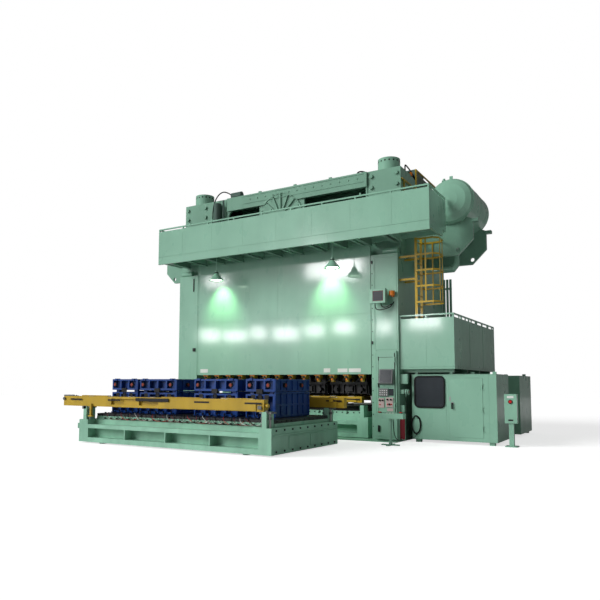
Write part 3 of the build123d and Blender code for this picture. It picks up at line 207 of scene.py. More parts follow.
# %% Dress the CAD pieces
worn = {
    "yellow": "ladder ladder_cage crown_rail outer_feed_bars front_feed_bar rear_feed_bar die_clamps",
    "blue": "outer_lower_dies outer_upper_dies",
    "steel": "slide_gibs plungers lift_blocks front_shoes rear_shoes",
    "dark_steel": "left_crankshaft right_crankshaft drive_shaft outer_front_axle outer_rear_axle "
                  "inner_front_axle inner_rear_axle hung_dies inner_lower_dies outer_bolster",
    # The crown and its pieces take the darker green, which is painted shade.
    "green_shaded_high": "crown tie_rod_blocks bearing_cover",
    # The carriages and the bed take the lighter green, which is painted light over their real wear.
    "green_worn_and_lit": "outer_carriage inner_carriage bed",
    "dark_green": "oil_unit",
    "screen": "housing_window",
    "orange": "beacon",
    "red": "palm_button_left palm_button_right post_button",
    "black": "door_handle",
    "grey": "operator_panels",
}
kind_of = {name: kind for kind, names in worn.items() for name in names.split()}
for name, node in nodes.items():
    node.data.materials.clear()
    node.data.materials.append(finish[kind_of.get(name, "green")])
print("dressed", len(kind_of), "pieces apart from the green ones")

# %% [markdown]
# The studio's floor is pale and dull, so it keeps the press's shadow. What the camera sees of it is
# lifted to near white by a faint glow that only camera rays meet, so that no light is added to the press.

# %% Floor
floor = bpy.data.objects.new("floor", bpy.data.meshes.new("floor"))
ground = bmesh.new()
bmesh.ops.create_grid(ground, x_segments=1, y_segments=1, size=60)
ground.to_mesh(floor.data)
ground.free()
bpy.context.collection.objects.link(floor)
pale, tree, shader = shader_nodes("pale_floor")
shader.inputs["Base Color"].default_value = (0.62, 0.62, 0.62, 1)
shader.inputs["Roughness"].default_value = 0.9
light_path = tree.nodes.new("ShaderNodeLightPath")
white = tree.nodes.new("ShaderNodeEmission")
white.inputs["Strength"].default_value = 0.66
sum_shader = tree.nodes.new("ShaderNodeAddShader")
only_camera = tree.nodes.new("ShaderNodeMixShader")
tree.links.new(shader.outputs["BSDF"], sum_shader.inputs[0])
tree.links.new(white.outputs["Emission"], sum_shader.inputs[1])
tree.links.new(light_path.outputs["Is Camera Ray"], only_camera.inputs["Fac"])
tree.links.new(shader.outputs["BSDF"], only_camera.inputs[1])
tree.links.new(sum_shader.outputs["Shader"], only_camera.inputs[2])
tree.links.new(only_camera.outputs["Shader"], tree.nodes["Material Output"].inputs["Surface"])
floor.data.materials.append(pale)
print("floor", [round(v) for v in floor.dimensions], "m")

# %% [markdown]
# The surround is white to the camera, dimmer as a light on the press, and in between in reflections,
# so that glossy paint mirrors a bright room without being washed out by it.

# %% Surround
world = bpy.data.worlds.new("studio")
bpy.context.scene.world = world
world.use_nodes = True
tree = world.node_tree
path = tree.nodes.new("ShaderNodeLightPath")
strength = tree.nodes.new("ShaderNodeMath")
strength.operation = "MULTIPLY"
for slot, (ray, otherwise, met) in enumerate([("Is Camera Ray", 0.22, 1.0), ("Is Glossy Ray", 1.0, 0.6)]):
    level = tree.nodes.new("ShaderNodeMapRange")
    level.inputs["To Min"].default_value = otherwise
    level.inputs["To Max"].default_value = met
    tree.links.new(path.outputs[ray], level.inputs["Value"])
    tree.links.new(level.outputs["Result"], strength.inputs[slot])
background = tree.nodes["Background"]
background.inputs["Color"].default_value = (1, 1, 1, 1)
tree.links.new(strength.outputs["Value"], background.inputs["Strength"])
bpy.context.scene.view_settings.view_transform = "Standard"
print("surround", world.name)

# %% [markdown]
# The key light comes from the front, the left and above, and a weaker fill from the camera's side. Both
# are wide suns, which light the whole press evenly and soften its shadows. Neither shows in the gloss.

# %% Key and fill
def sun(name, towards, strength, spread):
    """A soft distant lamp that shines along a direction."""
    lamp = bpy.data.objects.new(name, bpy.data.lights.new(name, "SUN"))
    lamp.data.energy = strength
    lamp.data.angle = radians(spread)
    lamp.visible_glossy = False
    lamp.rotation_euler = Vector(towards).to_track_quat("-Z", "Y").to_euler()
    bpy.context.collection.objects.link(lamp)


sun("key", (0.60, 0.64, -0.48), 2.5, 30)
sun("fill", (0.47, 0.87, -0.08), 0.72, 30)
print("suns", sum(light.type == "SUN" for light in bpy.data.lights))

# %% [markdown]
# The press's glossy front mirrors the light before it as rows of blurred bright patches. Soft boxes
# behind the camera give that light. A patch that is wanted at a place on the front has its
# box on the line from the camera's mirror image through that place, so each box is given by its patch.

# %% Soft boxes
def panel_light(name, place, target, size, power):
    """A soft box that faces a point and shows only in the gloss."""
    light = bpy.data.objects.new(name, bpy.data.lights.new(name, "AREA"))
    light.data.shape = "RECTANGLE"
    light.data.size, light.data.size_y = size
    light.data.energy = power
    light.location = place
    light.rotation_euler = (Vector(target) - Vector(place)).to_track_quat("-Z", "Y").to_euler()
    light.visible_diffuse = False
    bpy.context.collection.objects.link(light)


patches = [(-2.65, 3.2, 0.9, 0.7), (-1.6, 3.15, 1.1, 0.6), (-0.7, 3.2, 0.7, 0.7), (0.35, 3.15, 1.2, 0.7),
           (1.35, 3.2, 0.8, 0.6), (2.35, 3.25, 0.9, 0.6), (3.6, 3.2, 0.6, 0.6), (4.75, 3.3, 1.3, 0.6),
           (1.9, 5.0, 2.2, 0.9), (2.4, 5.1, 1.5, 0.7), (-2.4, 5.0, 1.0, 0.6)]
eye = camera.location
box_wall = -20              # the Y of the wall of boxes
reach = 1 + box_wall / eye.y
for number, (x, z, width, height) in enumerate(patches):
    place = (eye.x + (x - eye.x) * reach, box_wall, eye.z + (z - eye.z) * reach)
    panel_light(f"soft_box_{number}", place, (x, 0, z), (width * 1.5, height * 1.3), 210 * width * height)
print("soft boxes", len(patches))

# %% [markdown]
# Two lit work lamps hang under the walkway. A spot with a wide soft edge stands in for each bulb and
# throws a fan of greenish light down the slide's front.

# %% Bulbs
for x in (-2.12, 1.92):
    bulb = bpy.data.objects.new("bulb", bpy.data.lights.new("bulb", "SPOT"))
    bulb.data.energy = 150
    bulb.data.color = (0.62, 1.0, 0.52)
    bulb.data.spot_size = radians(84)
    bulb.data.spot_blend = 0.9
    bulb.data.shadow_soft_size = 0.1
    bulb.location = (x, -0.55, 5.0)
    bulb.rotation_euler = Vector((0, 0.62, -1)).to_track_quat("-Z", "Y").to_euler()
    bulb.visible_glossy = False
    bpy.context.collection.objects.link(bulb)

# %% [markdown]
# The cables and the hose are round rubber lines that hang between their glands. A NURBS curve through
# the same points as the CAD tube gives each a smooth line, and its bevel gives it the thickness. The
# length is measured on the curve without its bevel, where the mesh is only the line itself.

# %% Cable helper
def smooth_line(spline, places):
    """Sets the points of a spline and lets it run from the first to the last."""
    spline.points.add(len(places) - 1)
    for point, place in zip(spline.points, places):
        point.co = (*place, 1)
    spline.order_u = 3
    spline.use_endpoint_u = True


def line_length(curve):
    """The length of a curve's line in metres."""
    line = curve.copy()
    line.bevel_depth = 0
    probe = bpy.data.objects.new("probe", line)
    mesh = bpy.data.meshes.new_from_object(probe)
    bpy.data.objects.remove(probe)
    ends = [[mesh.vertices[i].co for i in edge.vertices] for edge in mesh.edges]
    return sum((a - b).length for a, b in ends)


def cable(name, points, radius, replaced):
    """A smooth cable through points in millimetres, in place of its CAD solids."""
    curve = bpy.data.curves.new(name, "CURVE")
    curve.dimensions = "3D"
    curve.bevel_depth = radius
    curve.bevel_resolution = 4
    curve.resolution_u = 8
    curve.use_fill_caps = True
    places = [[v / 1000 for v in point] for point in points]
    smooth_line(curve.splines.new("NURBS"), places)
    thing = bpy.data.objects.new(name, curve)
    bpy.context.collection.objects.link(thing)
    curve.materials.append(finish["rubber"])
    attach(thing, "frame")
    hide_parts(*replaced)
    length = line_length(curve)
    print(name, round(length, 3), "m")


print("cable helper ready")

# %% [markdown]
# The oil hose rises from its bracket and bends over to the oil motor on the crown. The console's lead
# drops to the floor and runs in a slack curve to the foot of the upright.

# %% Oil hose and console lead
cable("crown_oil_hose", [(-2690, 120, 6960), (-2692, 120, 7240), (-2688, 122, 7530), (-2640, 130, 7800),
                         (-2530, 150, 8020), (-2370, 190, 8160), (-2200, 250, 8150), (-2070, 310, 8060)],
      0.020, ["oil_hose"])
cable("console_lead", [(4205, -1010, 660), (4206, -992, 480), (4200, -915, 300), (4182, -770, 180),
                       (4152, -570, 115), (4115, -360, 82), (4085, -170, 72), (4072, -20, 76)],
      0.010, ["console_cable"])

# %% [markdown]
# The pendant's cable runs down the press and ends as a coil on the housing's hook, all in one spline.
# The loop adds the turns, each a little larger or smaller than the last and leaning a little, as a
# person winds them by hand.

# %% Pendant lead
pendant_lead = [(4165, 110, 1255), (4168, 108, 1060), (4176, 100, 870), (4186, 95, 680), (4192, 95, 490),
                (4205, 105, 320), (4250, 130, 190), (4325, 165, 125), (4392, 206, 142), (4400, 246, 214)]
coil_middle, coil_half, coil_y = (4396, 475), (125, 243), 260
turns, steps = 5, 16
for i in range(3, turns * steps - 2):
    angle = -pi / 2 + 2 * pi * i / steps
    turn = i / steps
    grow = 13 * sin(2.6 * turn + 0.4)
    lean = 6 * cos(1.7 * turn)
    pendant_lead.append((coil_middle[0] + lean * 0.4 + (coil_half[0] + grow) * cos(angle),
                         coil_y - 26 * turn / turns,
                         coil_middle[1] + lean * 0.5 + (coil_half[1] + grow) * sin(angle)))
cable("pendant_lead", pendant_lead, 0.007, ["pendant_cable", "cable_hank"])

# %% [markdown]
# Small flat and round things are made from three bmesh shapes, each at its place in metres: a block from
# its X, Y and Z ranges, a round bar between two points, and a plate from its corners. A bar with a
# second radius is a cone.

# %% Shapes
def block(x, y, z):
    """A block from its lowest and highest X, Y and Z."""
    shape = bmesh.new()
    bmesh.ops.create_cube(shape, size=1)
    middle = Matrix.Translation([(low + high) / 2 for low, high in (x, y, z)])
    size = Matrix.Diagonal([high - low for low, high in (x, y, z)] + [1])
    bmesh.ops.transform(shape, matrix=middle @ size, verts=shape.verts)
    return shape


def bar(start, end, radius, sides=16, tip=None):
    """A round bar from one point to another, or a cone when the tip has its own radius."""
    shape = bmesh.new()
    line = Vector(end) - Vector(start)
    bmesh.ops.create_cone(shape, cap_ends=True, segments=sides, radius1=radius,
                          radius2=radius if tip is None else tip, depth=line.length)
    middle = Matrix.Translation((Vector(start) + Vector(end)) / 2)
    turn = line.to_track_quat("Z", "Y").to_matrix().to_4x4()
    bmesh.ops.transform(shape, matrix=middle @ turn, verts=shape.verts)
    return shape


def plate(corners, offset):
    """A flat plate through its corners, made thick by an offset."""
    shape = bmesh.new()
    face = shape.faces.new([shape.verts.new(corner) for corner in corners])
    grown = bmesh.ops.extrude_face_region(shape, geom=[face])
    lifted = [v for v in grown["geom"] if isinstance(v, bmesh.types.BMVert)]
    bmesh.ops.translate(shape, vec=offset, verts=lifted)
    return shape


print("shapes ready")

# %% [markdown]
# One mesh holds many like shapes, such as a row of bolts. Every sharp edge gets a small bevel, because
# no real edge is perfectly sharp, and the bevel is what catches the light.

# %% Pieces from shapes
def on_press(name, mesh, body, kind):
    """Puts a mesh on a body of the press and gives it its finish."""
    thing = bpy.data.objects.new(name, mesh)
    bpy.context.collection.objects.link(thing)
    mesh.materials.clear()
    mesh.materials.append(finish[kind])
    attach(thing, body)
    print(name, len(mesh.polygons), "faces on", body)


def piece(name, body, kind, shapes, bevel=0.004):
    """Many like shapes as one mesh that rides on a body of the press."""
    mesh = bpy.data.meshes.new(name)
    whole = bmesh.new()
    for shape in shapes:
        if bevel:
            sharp = [edge for edge in shape.edges if edge.calc_face_angle(0) > 0.8]
            bmesh.ops.bevel(shape, geom=sharp, offset=bevel, offset_type="OFFSET", affect="EDGES",
                            segments=1, profile=0.5, material=-1, clamp_overlap=True)
        bmesh.ops.recalc_face_normals(shape, faces=shape.faces)
        shape.to_mesh(mesh)
        shape.free()
        whole.from_mesh(mesh)
    whole.to_mesh(mesh)
    whole.free()
    on_press(name, mesh, body, kind)


def line_piece(name, body, kind, lines, radius):
    """Thin pipes and wires, each through its own points, as one piece."""
    curve = bpy.data.curves.new(name, "CURVE")
    curve.dimensions = "3D"
    curve.bevel_depth = radius
    curve.bevel_resolution = 2
    curve.resolution_u = 6
    curve.use_fill_caps = True
    for places in lines:
        smooth_line(curve.splines.new("NURBS"), places)
    drawn = bpy.data.objects.new(name + "_line", curve)
    mesh = bpy.data.meshes.new_from_object(drawn)
    on_press(name, mesh, body, kind)


def spaced(low, high, count):
    """Evenly spaced numbers from low to high, both included."""
    return [low + (high - low) * i / (count - 1) for i in range(count)]


print("five places from 0 to 1:", spaced(0, 1, 5))

# %% [markdown]
# The slide's front is made of large sheets, so joint strips run across it and down it. The bottom
# corners carry small plates, which stay blank.

# %% Slide
joint_z = 3.63
strips = [block((-3.188, 3.188), (-0.005, 0), (joint_z - 0.006, joint_z + 0.006))]
for x in (-2.13, -1.02, 0.786, 1.82, 2.58):
    strips.append(block((x - 0.004, x + 0.004), (-0.003, 0), (1.87, joint_z)))
for x in (-2.13, -1.06, 0.02, 1.09, 2.15):
    strips.append(block((x - 0.004, x + 0.004), (-0.003, 0), (joint_z, 5.7)))
for x in (-3.165, 3.165):
    strips.append(block((x - 0.02, x + 0.02), (-0.006, 0), (1.88, 5.68)))
piece("slide_joint_strips", "slide", "green", strips, bevel=0.0015)
plates = [block((x0, x1), (-0.004, 0), (z0, z1)) for x0, x1, z0, z1 in (
    (-3.04, -2.72, 1.95, 2.07), (1.66, 1.88, 1.93, 2.05), (2.12, 2.44, 1.93, 2.04), (2.48, 2.86, 1.93, 2.04))]
piece("slide_blank_plates", "slide", "white", plates, bevel=0.001)

# %% [markdown]
# Along the slide's lower edge hang the die clamps. Each has two pins and an orange knob under a small
# plate, and a hose sags from one clamp to the next.

# %% Clamps
clamp_x = spaced(-2.85, 2.85, 13)
pins, knobs, loops = [], [], []
for i, x in enumerate(clamp_x):
    pins.append(bar((x, 0.005, 1.79), (x, 0.06, 1.79), 0.035))
    pins.append(bar((x - 0.06, 0.02, 1.71), (x - 0.06, 0.06, 1.71), 0.018))
    knobs.append(bar((x + 0.03, -0.01, 1.72), (x + 0.03, 0.06, 1.72), 0.03, tip=0.022))
    knobs.append(block((x - 0.1, x + 0.1), (0.03, 0.058), (1.835, 1.865)))
    if i:
        a = clamp_x[i - 1] + 0.05
        loops.append([(a, 0.03, 1.80), (a + 0.08, 0.02, 1.66), ((a + x) / 2, 0.03, 1.60 + 0.03 * (i % 3)),
                      (x - 0.12, 0.02, 1.66), (x - 0.06, 0.04, 1.78)])
piece("clamp_pins", "slide", "dark_steel", pins)
piece("clamp_knobs", "slide", "orange", knobs, bevel=0.006)
line_piece("clamp_lines", "slide", "rubber", loops, 0.009)

# %% [markdown]
# A dark rubber curtain closes the back of the press over the carriages. It is a dark sheet standing in for
# the darkness seen through the press behind the dies, so its black is painted shade. Its strips lap over
# each other, every second one a little further back.

# %% Rear curtain
curtain = [block((x, x + 0.40), (4.36 + 0.012 * (i % 2), 4.37 + 0.012 * (i % 2)), (1.0, 2.75))
           for i, x in enumerate(spaced(-3.19, 2.79, 16))]
piece("rear_shade_curtain", "frame", "rubber", curtain, bevel=0.002)
piece("curtain_rail", "frame", "green", [block((-3.2, 3.2), (4.33, 4.41), (2.72, 2.82))])

# %% [markdown]
# The four dies that hang under the slide are dark castings with ribs, lifting pins and stop blocks.
# The lower dies stand on the inner carriage, and pale sheet blanks stick out at their front edge. A
# blank is thin and springy, so its edge waves a little.

# %% Dies in the press
ribs, pin_rows, sheets = [], [], []
blank_top = 0.994
for i in range(4):
    left = (i - 1.5) * 1.4 - 0.625
    for x in spaced(left + 0.06, left + 1.19, 7):
        ribs.append(block((x - 0.012, x + 0.012), (0.83, 0.9), (1.31, 1.57)))
    for x in (left + 0.2, left + 1.05):
        pin_rows.append(bar((x, 0.74, 1.43), (x, 0.9, 1.43), 0.05, 20))
        pin_rows.append(bar((x, 0.735, 1.43), (x, 0.75, 1.43), 0.065, 20))
    pin_rows.append(block((left + 0.5, left + 0.76), (0.80, 0.9), (1.36, 1.52)))
    sag = 0.02 * (i % 2)
    wave = [(left + 0.05, 0.972 + sag), (left + 0.35, 0.992), (left + 0.62, 0.974), (left + 0.95, 0.994),
            (left + 1.2, 0.972 + sag)]
    for (x0, z0), (x1, z1) in zip(wave, wave[1:]):
        z0, z1 = min(z0, blank_top), min(z1, blank_top)
        sheets.append(plate([(x0, 0.62, z0 - 0.05), (x1, 0.62, z1 - 0.05), (x1, 0.93, z1 - 0.002),
                             (x0, 0.93, z0 - 0.002)], (0, 0, 0.004)))
piece("hung_die_ribs", "slide", "dark_steel", ribs, bevel=0.003)
piece("hung_die_pins", "slide", "dark_steel", pin_rows)
piece("sheet_blanks", "inner_carriage", "blank", sheets, bevel=0)

# %% [markdown]
# The dies on the outer carriage are blue castings. Each has round lifting trunnions with a red end on
# its front and its right side, and guide bushes between its halves. It is bolted down along its foot.

# %% Dies on the outer carriage
die_front, die_back = -3.99, -2.33
die_sides = ((-2.96, -2.01), (-1.9, -0.62), (0.0, 1.33), (1.6, 2.42))
trunnions, ends, pockets, bolts, lugs = [], [], [], [], []
for low, high in die_sides:
    for x in (low + 0.15, high - 0.15):
        trunnions.append(bar((x, die_front - 0.05, 1.55), (x, die_front, 1.55), 0.058, 20))
        ends.append(bar((x, die_front - 0.062, 1.55), (x, die_front - 0.048, 1.55), 0.042, 20))
        trunnions.append(bar((x, die_front - 0.05, 1.02), (x, die_front, 1.02), 0.045, 20))
        pockets.append(bar((x, die_front + 0.13, 1.30), (x, die_front + 0.13, 1.46), 0.042, 20))
        lugs.append(block((x - 0.05, x + 0.05), (die_front - 0.02, die_front + 0.10), (1.66, 1.715)))
    for y in (-3.55, -2.75):
        trunnions.append(bar((high, y, 1.55), (high + 0.05, y, 1.55), 0.058, 20))
        ends.append(bar((high + 0.048, y, 1.55), (high + 0.062, y, 1.55), 0.042, 20))
    for x in spaced(low + 0.1, high - 0.1, max(3, round((high - low) / 0.24))):
        bolts.append(bar((x, die_front - 0.05, 0.80), (x, die_front - 0.05, 0.86), 0.022, 6))
        lugs.append(block((x - 0.035, x + 0.035), (die_front - 0.10, die_front), (0.78, 0.805)))
    for x in spaced(low + 0.22, high - 0.22, 3):
        # The black plates on each die's front, three in a row and one in the middle, stand for pockets: their
        # black is painted shade.
        pockets.append(block((x - 0.06, x + 0.06), (die_front - 0.004, die_front + 0.002), (1.18, 1.32)))
    middle = (low + high) / 2
    pockets.append(block((middle - 0.09, middle + 0.09), (die_front - 0.03, die_front), (1.345, 1.455)))
piece("die_trunnions", "outer_carriage", "dark_steel", trunnions)
piece("die_trunnion_ends", "outer_carriage", "dull_red", ends)

# %% [markdown]
# A casting is stiffened by ribs, which show on the right side of each die as a grid. An air line hangs
# from the middle of each die's front down to the ledge.

# %% Ribs and air lines of the dies
side_ribs, air = [], []
for low, high in die_sides:
    for y in spaced(die_front + 0.02, die_back - 0.02, 7):
        side_ribs.append(block((high, high + 0.03), (y - 0.02, y + 0.02), (0.80, 1.39)))
        side_ribs.append(block((high, high + 0.03), (y - 0.02, y + 0.02), (1.41, 1.69)))
    for z0, z1 in ((0.80, 0.84), (1.06, 1.10), (1.35, 1.39), (1.41, 1.44), (1.66, 1.69)):
        side_ribs.append(block((high, high + 0.026), (die_front + 0.02, die_back - 0.02), (z0, z1)))
    middle = (low + high) / 2
    air.append([(middle, die_front - 0.02, 1.36), (middle + 0.05, die_front - 0.14, 1.20),
                (middle - 0.04, die_front - 0.20, 0.98), (middle + 0.10, -4.35, 0.80),
                (middle + 0.3, -4.55, 0.80)])
piece("die_side_ribs", "outer_carriage", "blue", side_ribs)
piece("die_bushes_and_pocket_shade", "outer_carriage", "black", pockets, bevel=0.002)
piece("die_bolts", "outer_carriage", "dark_steel", bolts, bevel=0.002)
piece("die_lugs", "outer_carriage", "blue", lugs)
line_piece("die_air_lines", "outer_carriage", "rubber", air, 0.010)

# %% [markdown]
# The carriage is a welded box with a bolted plate on top. Pairs of jacks hold the feed bars that are
# laid on its posts.

# %% Bolts and jacks of the outer carriage
edge = [bar((x, -4.645, 0.735), (x, -4.63, 0.735), 0.020, 12) for x in spaced(-2.75, 2.73, 30)]
edge += [bar((2.81, y, 0.735), (2.825, y, 0.735), 0.020, 12) for y in spaced(-4.5, -2.15, 12)]
edge += [bar((x, -4.55, 0.78), (x, -4.55, 0.815), 0.026, 6) for x in spaced(-2.6, 2.6, 18)]
piece("bolster_bolts", "outer_carriage", "dark_steel", edge, bevel=0.002)
jacks, caps = [], []
for x in (-2.96, 2.75):
    for y in (-4.79, -1.85):
        for side in (-0.1, 0.1):
            jacks.append(bar((x + side, y - 0.06, 0.62), (x + side, y - 0.06, 0.965), 0.026))
            caps.append(bar((x + side, y - 0.06, 0.80), (x + side, y - 0.06, 0.86), 0.042, 12))
        caps.append(block((x - 0.16, x + 0.16), (y - 0.11, y + 0.11), (0.93, 0.967)))
piece("bar_jacks", "outer_carriage", "steel", jacks)
piece("jack_collars", "outer_carriage", "grey", caps)

# %% [markdown]
# The ledge in front of the dies holds the clutter of a machine in use: red, black and white air lines
# lie there in curls. Sines of the line's number vary the curls, so each run draws the same ones.

# %% Air lines on the ledge
curls = {"red": [], "dark_red": [], "rubber": [], "white": []}
order = ("dark_red", "rubber", "rubber", "red", "rubber", "dark_red", "white")
for i, x in enumerate(spaced(-2.4, 2.2, 30)):
    swing = 0.10 + 0.05 * sin(2.3 * i)
    front = -4.72 - 0.05 * cos(1.7 * i)
    curls[order[i % 7]].append([
        (x, -4.60, 0.80), (x + 0.03, -4.68, 0.82 + 0.02 * cos(i)), (x + swing, front, 0.70),
        (x + swing + 0.16, front - 0.03, 0.645), (x + swing + 0.30, front + 0.02, 0.64),
        (x + 0.52 + swing, -4.70, 0.655), (x + 0.60, -4.66, 0.72)])
for kind, lines in curls.items():
    line_piece("ledge_lines_" + kind, "outer_carriage", kind, lines, 0.0055)

# %% [markdown]
# A foot strip closes the gap under the bolster. The front feed bar has a yellow hanger, pads on its top
# and grey fittings at its ends, and the carriage's front and side have couplings, stiffeners and bolts.

# %% Fittings of the outer carriage
piece("bolster_foot", "outer_carriage", "green", [
    block((-2.83, 2.81), (-4.642, -4.63), (0.62, 0.712)),
    block((2.81, 2.822), (-4.63, -2.01), (0.62, 0.70))])
piece("bar_hanger", "outer_carriage", "yellow", [
    block((-2.80, -2.74), (-4.93, -4.87), (0.70, 1.04)), block((-2.84, -2.70), (-4.94, -4.86), (0.70, 0.74)),
    bar((-3.93, -4.80, 1.12), (-3.88, -4.80, 1.12), 0.05),
    bar((2.70, -4.80, 1.10), (2.78, -4.80, 1.10), 0.045),
    block((-3.2, -2.2), (-4.86, -4.74), (1.235, 1.262)), block((-0.3, 0.9), (-4.88, -4.74), (1.235, 1.256)),
    block((1.5, 2.4), (-4.86, -4.74), (1.235, 1.258))])
piece("bar_end_parts", "outer_carriage", "grey", [
    bar((-3.90, -4.86, 1.245), (-3.5, -4.86, 1.25), 0.022),
    bar((-3.86, -4.92, 1.16), (-3.86, -4.88, 1.16), 0.04, 20),
    block((2.56, 2.66), (-4.92, -4.90), (1.02, 1.10)),
    bar((2.80, -4.90, 0.93), (2.80, -4.90, 1.0), 0.035),
    block((-3.08, -2.92), (-4.94, -4.90), (0.90, 0.98))])
couplings = [bar((x, -4.66, 0.66), (x + 0.05, -4.70, 0.66), 0.022, 10) for x in spaced(-2.5, 2.5, 24)]
piece("line_couplings", "outer_carriage", "dark_steel", couplings, bevel=0.002)
# The trim takes the carriages' lighter green, which is painted light.
piece("carriage_trim", "outer_carriage", "green_worn_and_lit", [
    block((-3.30, -3.17), (-4.80, -4.72), (0.40, 0.48)), block((-3.34, -3.29), (-4.85, -4.67), (0.37, 0.51)),
    block((2.94, 2.965), (-4.86, -1.78), (0.44, 0.47)), block((2.94, 2.955), (-4.2, -3.4), (0.12, 0.40)),
    block((2.94, 2.955), (-3.2, -2.4), (0.12, 0.40))])
side_bolts = [bar((2.94, y, z), (2.962, y, z), 0.022, 12)
              for y in spaced(-4.75, -1.9, 9) for z in (0.10, 0.56)]
piece("carriage_side_bolts", "outer_carriage", "dark_steel", side_bolts, bevel=0.002)

# %% [markdown]
# The feed bars carry brackets for the grippers that take hold of a panel's edge. The bar's top has
# steel wear pads with two bolts each, and its front has slots, drawn as black plates whose black is painted
# shade. Four bars are alike, so one helper dresses them all: two lie on the outer carriage and two work in
# the press.

# %% Feed bars
def bar_fittings(name, body, low, high, front, back, z, inward):
    """Brackets, pads and slots on one feed bar, whose inner side faces along inward."""
    inner = back if inward > 0 else front
    reach = inner + inward * 0.02
    middle_x, middle_y = (low + high) / 2, (front + back) / 2
    brackets, steel, dark = [], [], []
    for x in spaced(low + 0.35, high - 0.35, 9):
        brackets.append(block((x - 0.06, x + 0.06), sorted((inner - inward * 0.03, reach)),
                              (z - 0.12, z - 0.03)))
        steel.append(block((x - 0.10, x + 0.10), (front + 0.03, back - 0.03), (z, z + 0.012)))
        for step in (-0.07, 0.07):
            dark.append(bar((x + step, middle_y, z + 0.012), (x + step, middle_y, z + 0.03), 0.014, 6))
    for a, b in zip(spaced(low + 0.3, high - 0.5, 5), spaced(low + 0.75, high - 0.05, 5)):
        # The slots are black plates on the bar's front: painted shade.
        dark.append(block((a, b), (front - 0.003, front + 0.002), (z - 0.105, z - 0.065)))
    dark.append(block((middle_x - 0.55, middle_x + 0.55), (front - 0.006, front + 0.002),
                      (z - 0.10, z - 0.02)))
    piece(name + "_brackets", body, "yellow", brackets)
    piece(name + "_pads", body, "steel", steel, bevel=0.002)
    piece(name + "_bolts_and_slot_shade", body, "black", dark, bevel=0.002)


bar_fittings("outer_front", "outer_carriage", -3.9, 2.7, -4.9, -4.705, 1.235, 1)
bar_fittings("outer_back", "outer_carriage", -3.4, 3.24, -1.96, -1.765, 1.235, -1)
bar_fittings("press_front", "front_bar", -2.7, 2.7, 0.39, 0.585, 1.22, 1)
bar_fittings("press_back", "rear_bar", -2.7, 2.7, 3.23, 3.425, 1.22, -1)
inner_bolts = [bar((x, 0.595, 0.735), (x, 0.61, 0.735), 0.020, 12) for x in spaced(-2.75, 2.73, 30)]
piece("inner_bolster_bolts", "inner_carriage", "dark_steel", inner_bolts, bevel=0.002)

# %% [markdown]
# The walkway's guard is made of sheets, so it has joint strips and a band along its foot. Brackets hold
# its deck from below, and hooks stand on its rail.

# %% Walkway
guard = -1.2                # the Y of the guard's outer face
trim = [block((-3.93, 5.32), (-1.208, guard), (5.785, 5.80)),
        block((-3.93, 5.32), (-1.206, guard), (5.54, 5.552))]
trim += [block((x - 0.004, x + 0.004), (-1.203, guard), (5.80, 6.55)) for x in spaced(-2.9, 4.3, 7)]
trim += [block((x - 0.015, x + 0.015), (-1.203, guard), (5.55, 5.79)) for x in (-0.65, 2.4)]
trim += [block((5.32, 5.328), (guard, 0.2), (5.785, 5.80))]
piece("walkway_strips", "frame", "green", trim, bevel=0.0015)
under = [block((x - 0.03, x + 0.03), (-1.16, -0.08), (5.56, 5.765)) for x in spaced(-3.5, 4.0, 11)]
under += [block((x - 0.06, x + 0.06), (-1.16, -0.08), (5.548, 5.562)) for x in spaced(-3.5, 4.0, 11)]
piece("deck_brackets", "frame", "green_deep", under)
posts = [block((x - 0.02, x + 0.02), (-1.19, -1.15), (6.70, 6.80)) for x in (-2.6, -1.7, 0.5, 1.5, 3.4)]
piece("rail_hooks", "frame", "green", posts)

# %% [markdown]
# The crown gets what a rigger and a welder leave: lifting lugs and flanges, bolts round the bearing
# cover, and spanner holes round the big nuts of the tie rods, drawn as black discs whose black is painted
# shade. Black lines loop over its right end.

# %% Crown
lug_x = (-0.89, 0.46, 1.73)
lugs = [block((x - 0.05, x + 0.05), (0.32, 0.38), (7.9, 7.99)) for x in lug_x]
lugs += [block((x - 0.09, x + 0.09), (0.29, 0.41), (7.9, 7.912)) for x in lug_x]
lugs += [block((-1.5, 2.9), (0.188, 0.2), z) for z in ((7.60, 7.63), (7.84, 7.87))]
# The lugs and the bolts below take the crown's darker green, which is painted shade.
piece("crown_lugs", "frame", "green_shaded_high", lugs)
cover_z, bolt_ring = 6.96, 0.735
rim_bolts = []
for a in spaced(0, 2 * pi * 31 / 32, 32):
    x, z = bolt_ring * cos(a), cover_z + bolt_ring * sin(a)
    rim_bolts.append(bar((x, 0.132, z), (x, 0.152, z), 0.024, 6))
rim_bolts += [bar((x, 0.18, 7.735), (x, 0.2, 7.735), 0.024, 6) for x in spaced(-1.2, 2.7, 14)]
piece("crown_bolts", "frame", "green_shaded_high", rim_bolts, bevel=0.002)
holes = []
for x in (-3.5153, 3.5153):
    for y in (0.715, 3.785):
        for a in spaced(0, 2 * pi * 15 / 16, 16):
            holes.append(bar((x + 0.325 * cos(a), y + 0.325 * sin(a), 8.22),
                             (x + 0.332 * cos(a), y + 0.332 * sin(a), 8.22), 0.026, 12))
piece("nut_spanner_hole_shade", "frame", "black", holes, bevel=0)
line_piece("crown_top_lines", "frame", "rubber", [
    [(3.95, 0.9, 7.92), (3.95, 0.88, 8.12), (3.90, 1.10, 8.22), (3.88, 1.5, 8.20), (3.92, 1.9, 8.05),
     (3.92, 2.0, 7.95)],
    [(3.80, 1.3, 7.92), (3.82, 1.32, 8.08), (3.86, 1.6, 8.14), (3.9, 2.1, 8.0), (3.92, 2.3, 7.6)],
    [(2.6, 0.4, 7.90), (2.6, 0.42, 8.0), (2.7, 0.45, 8.04), (2.85, 0.5, 8.0), (2.9, 0.5, 7.93)]], 0.022)
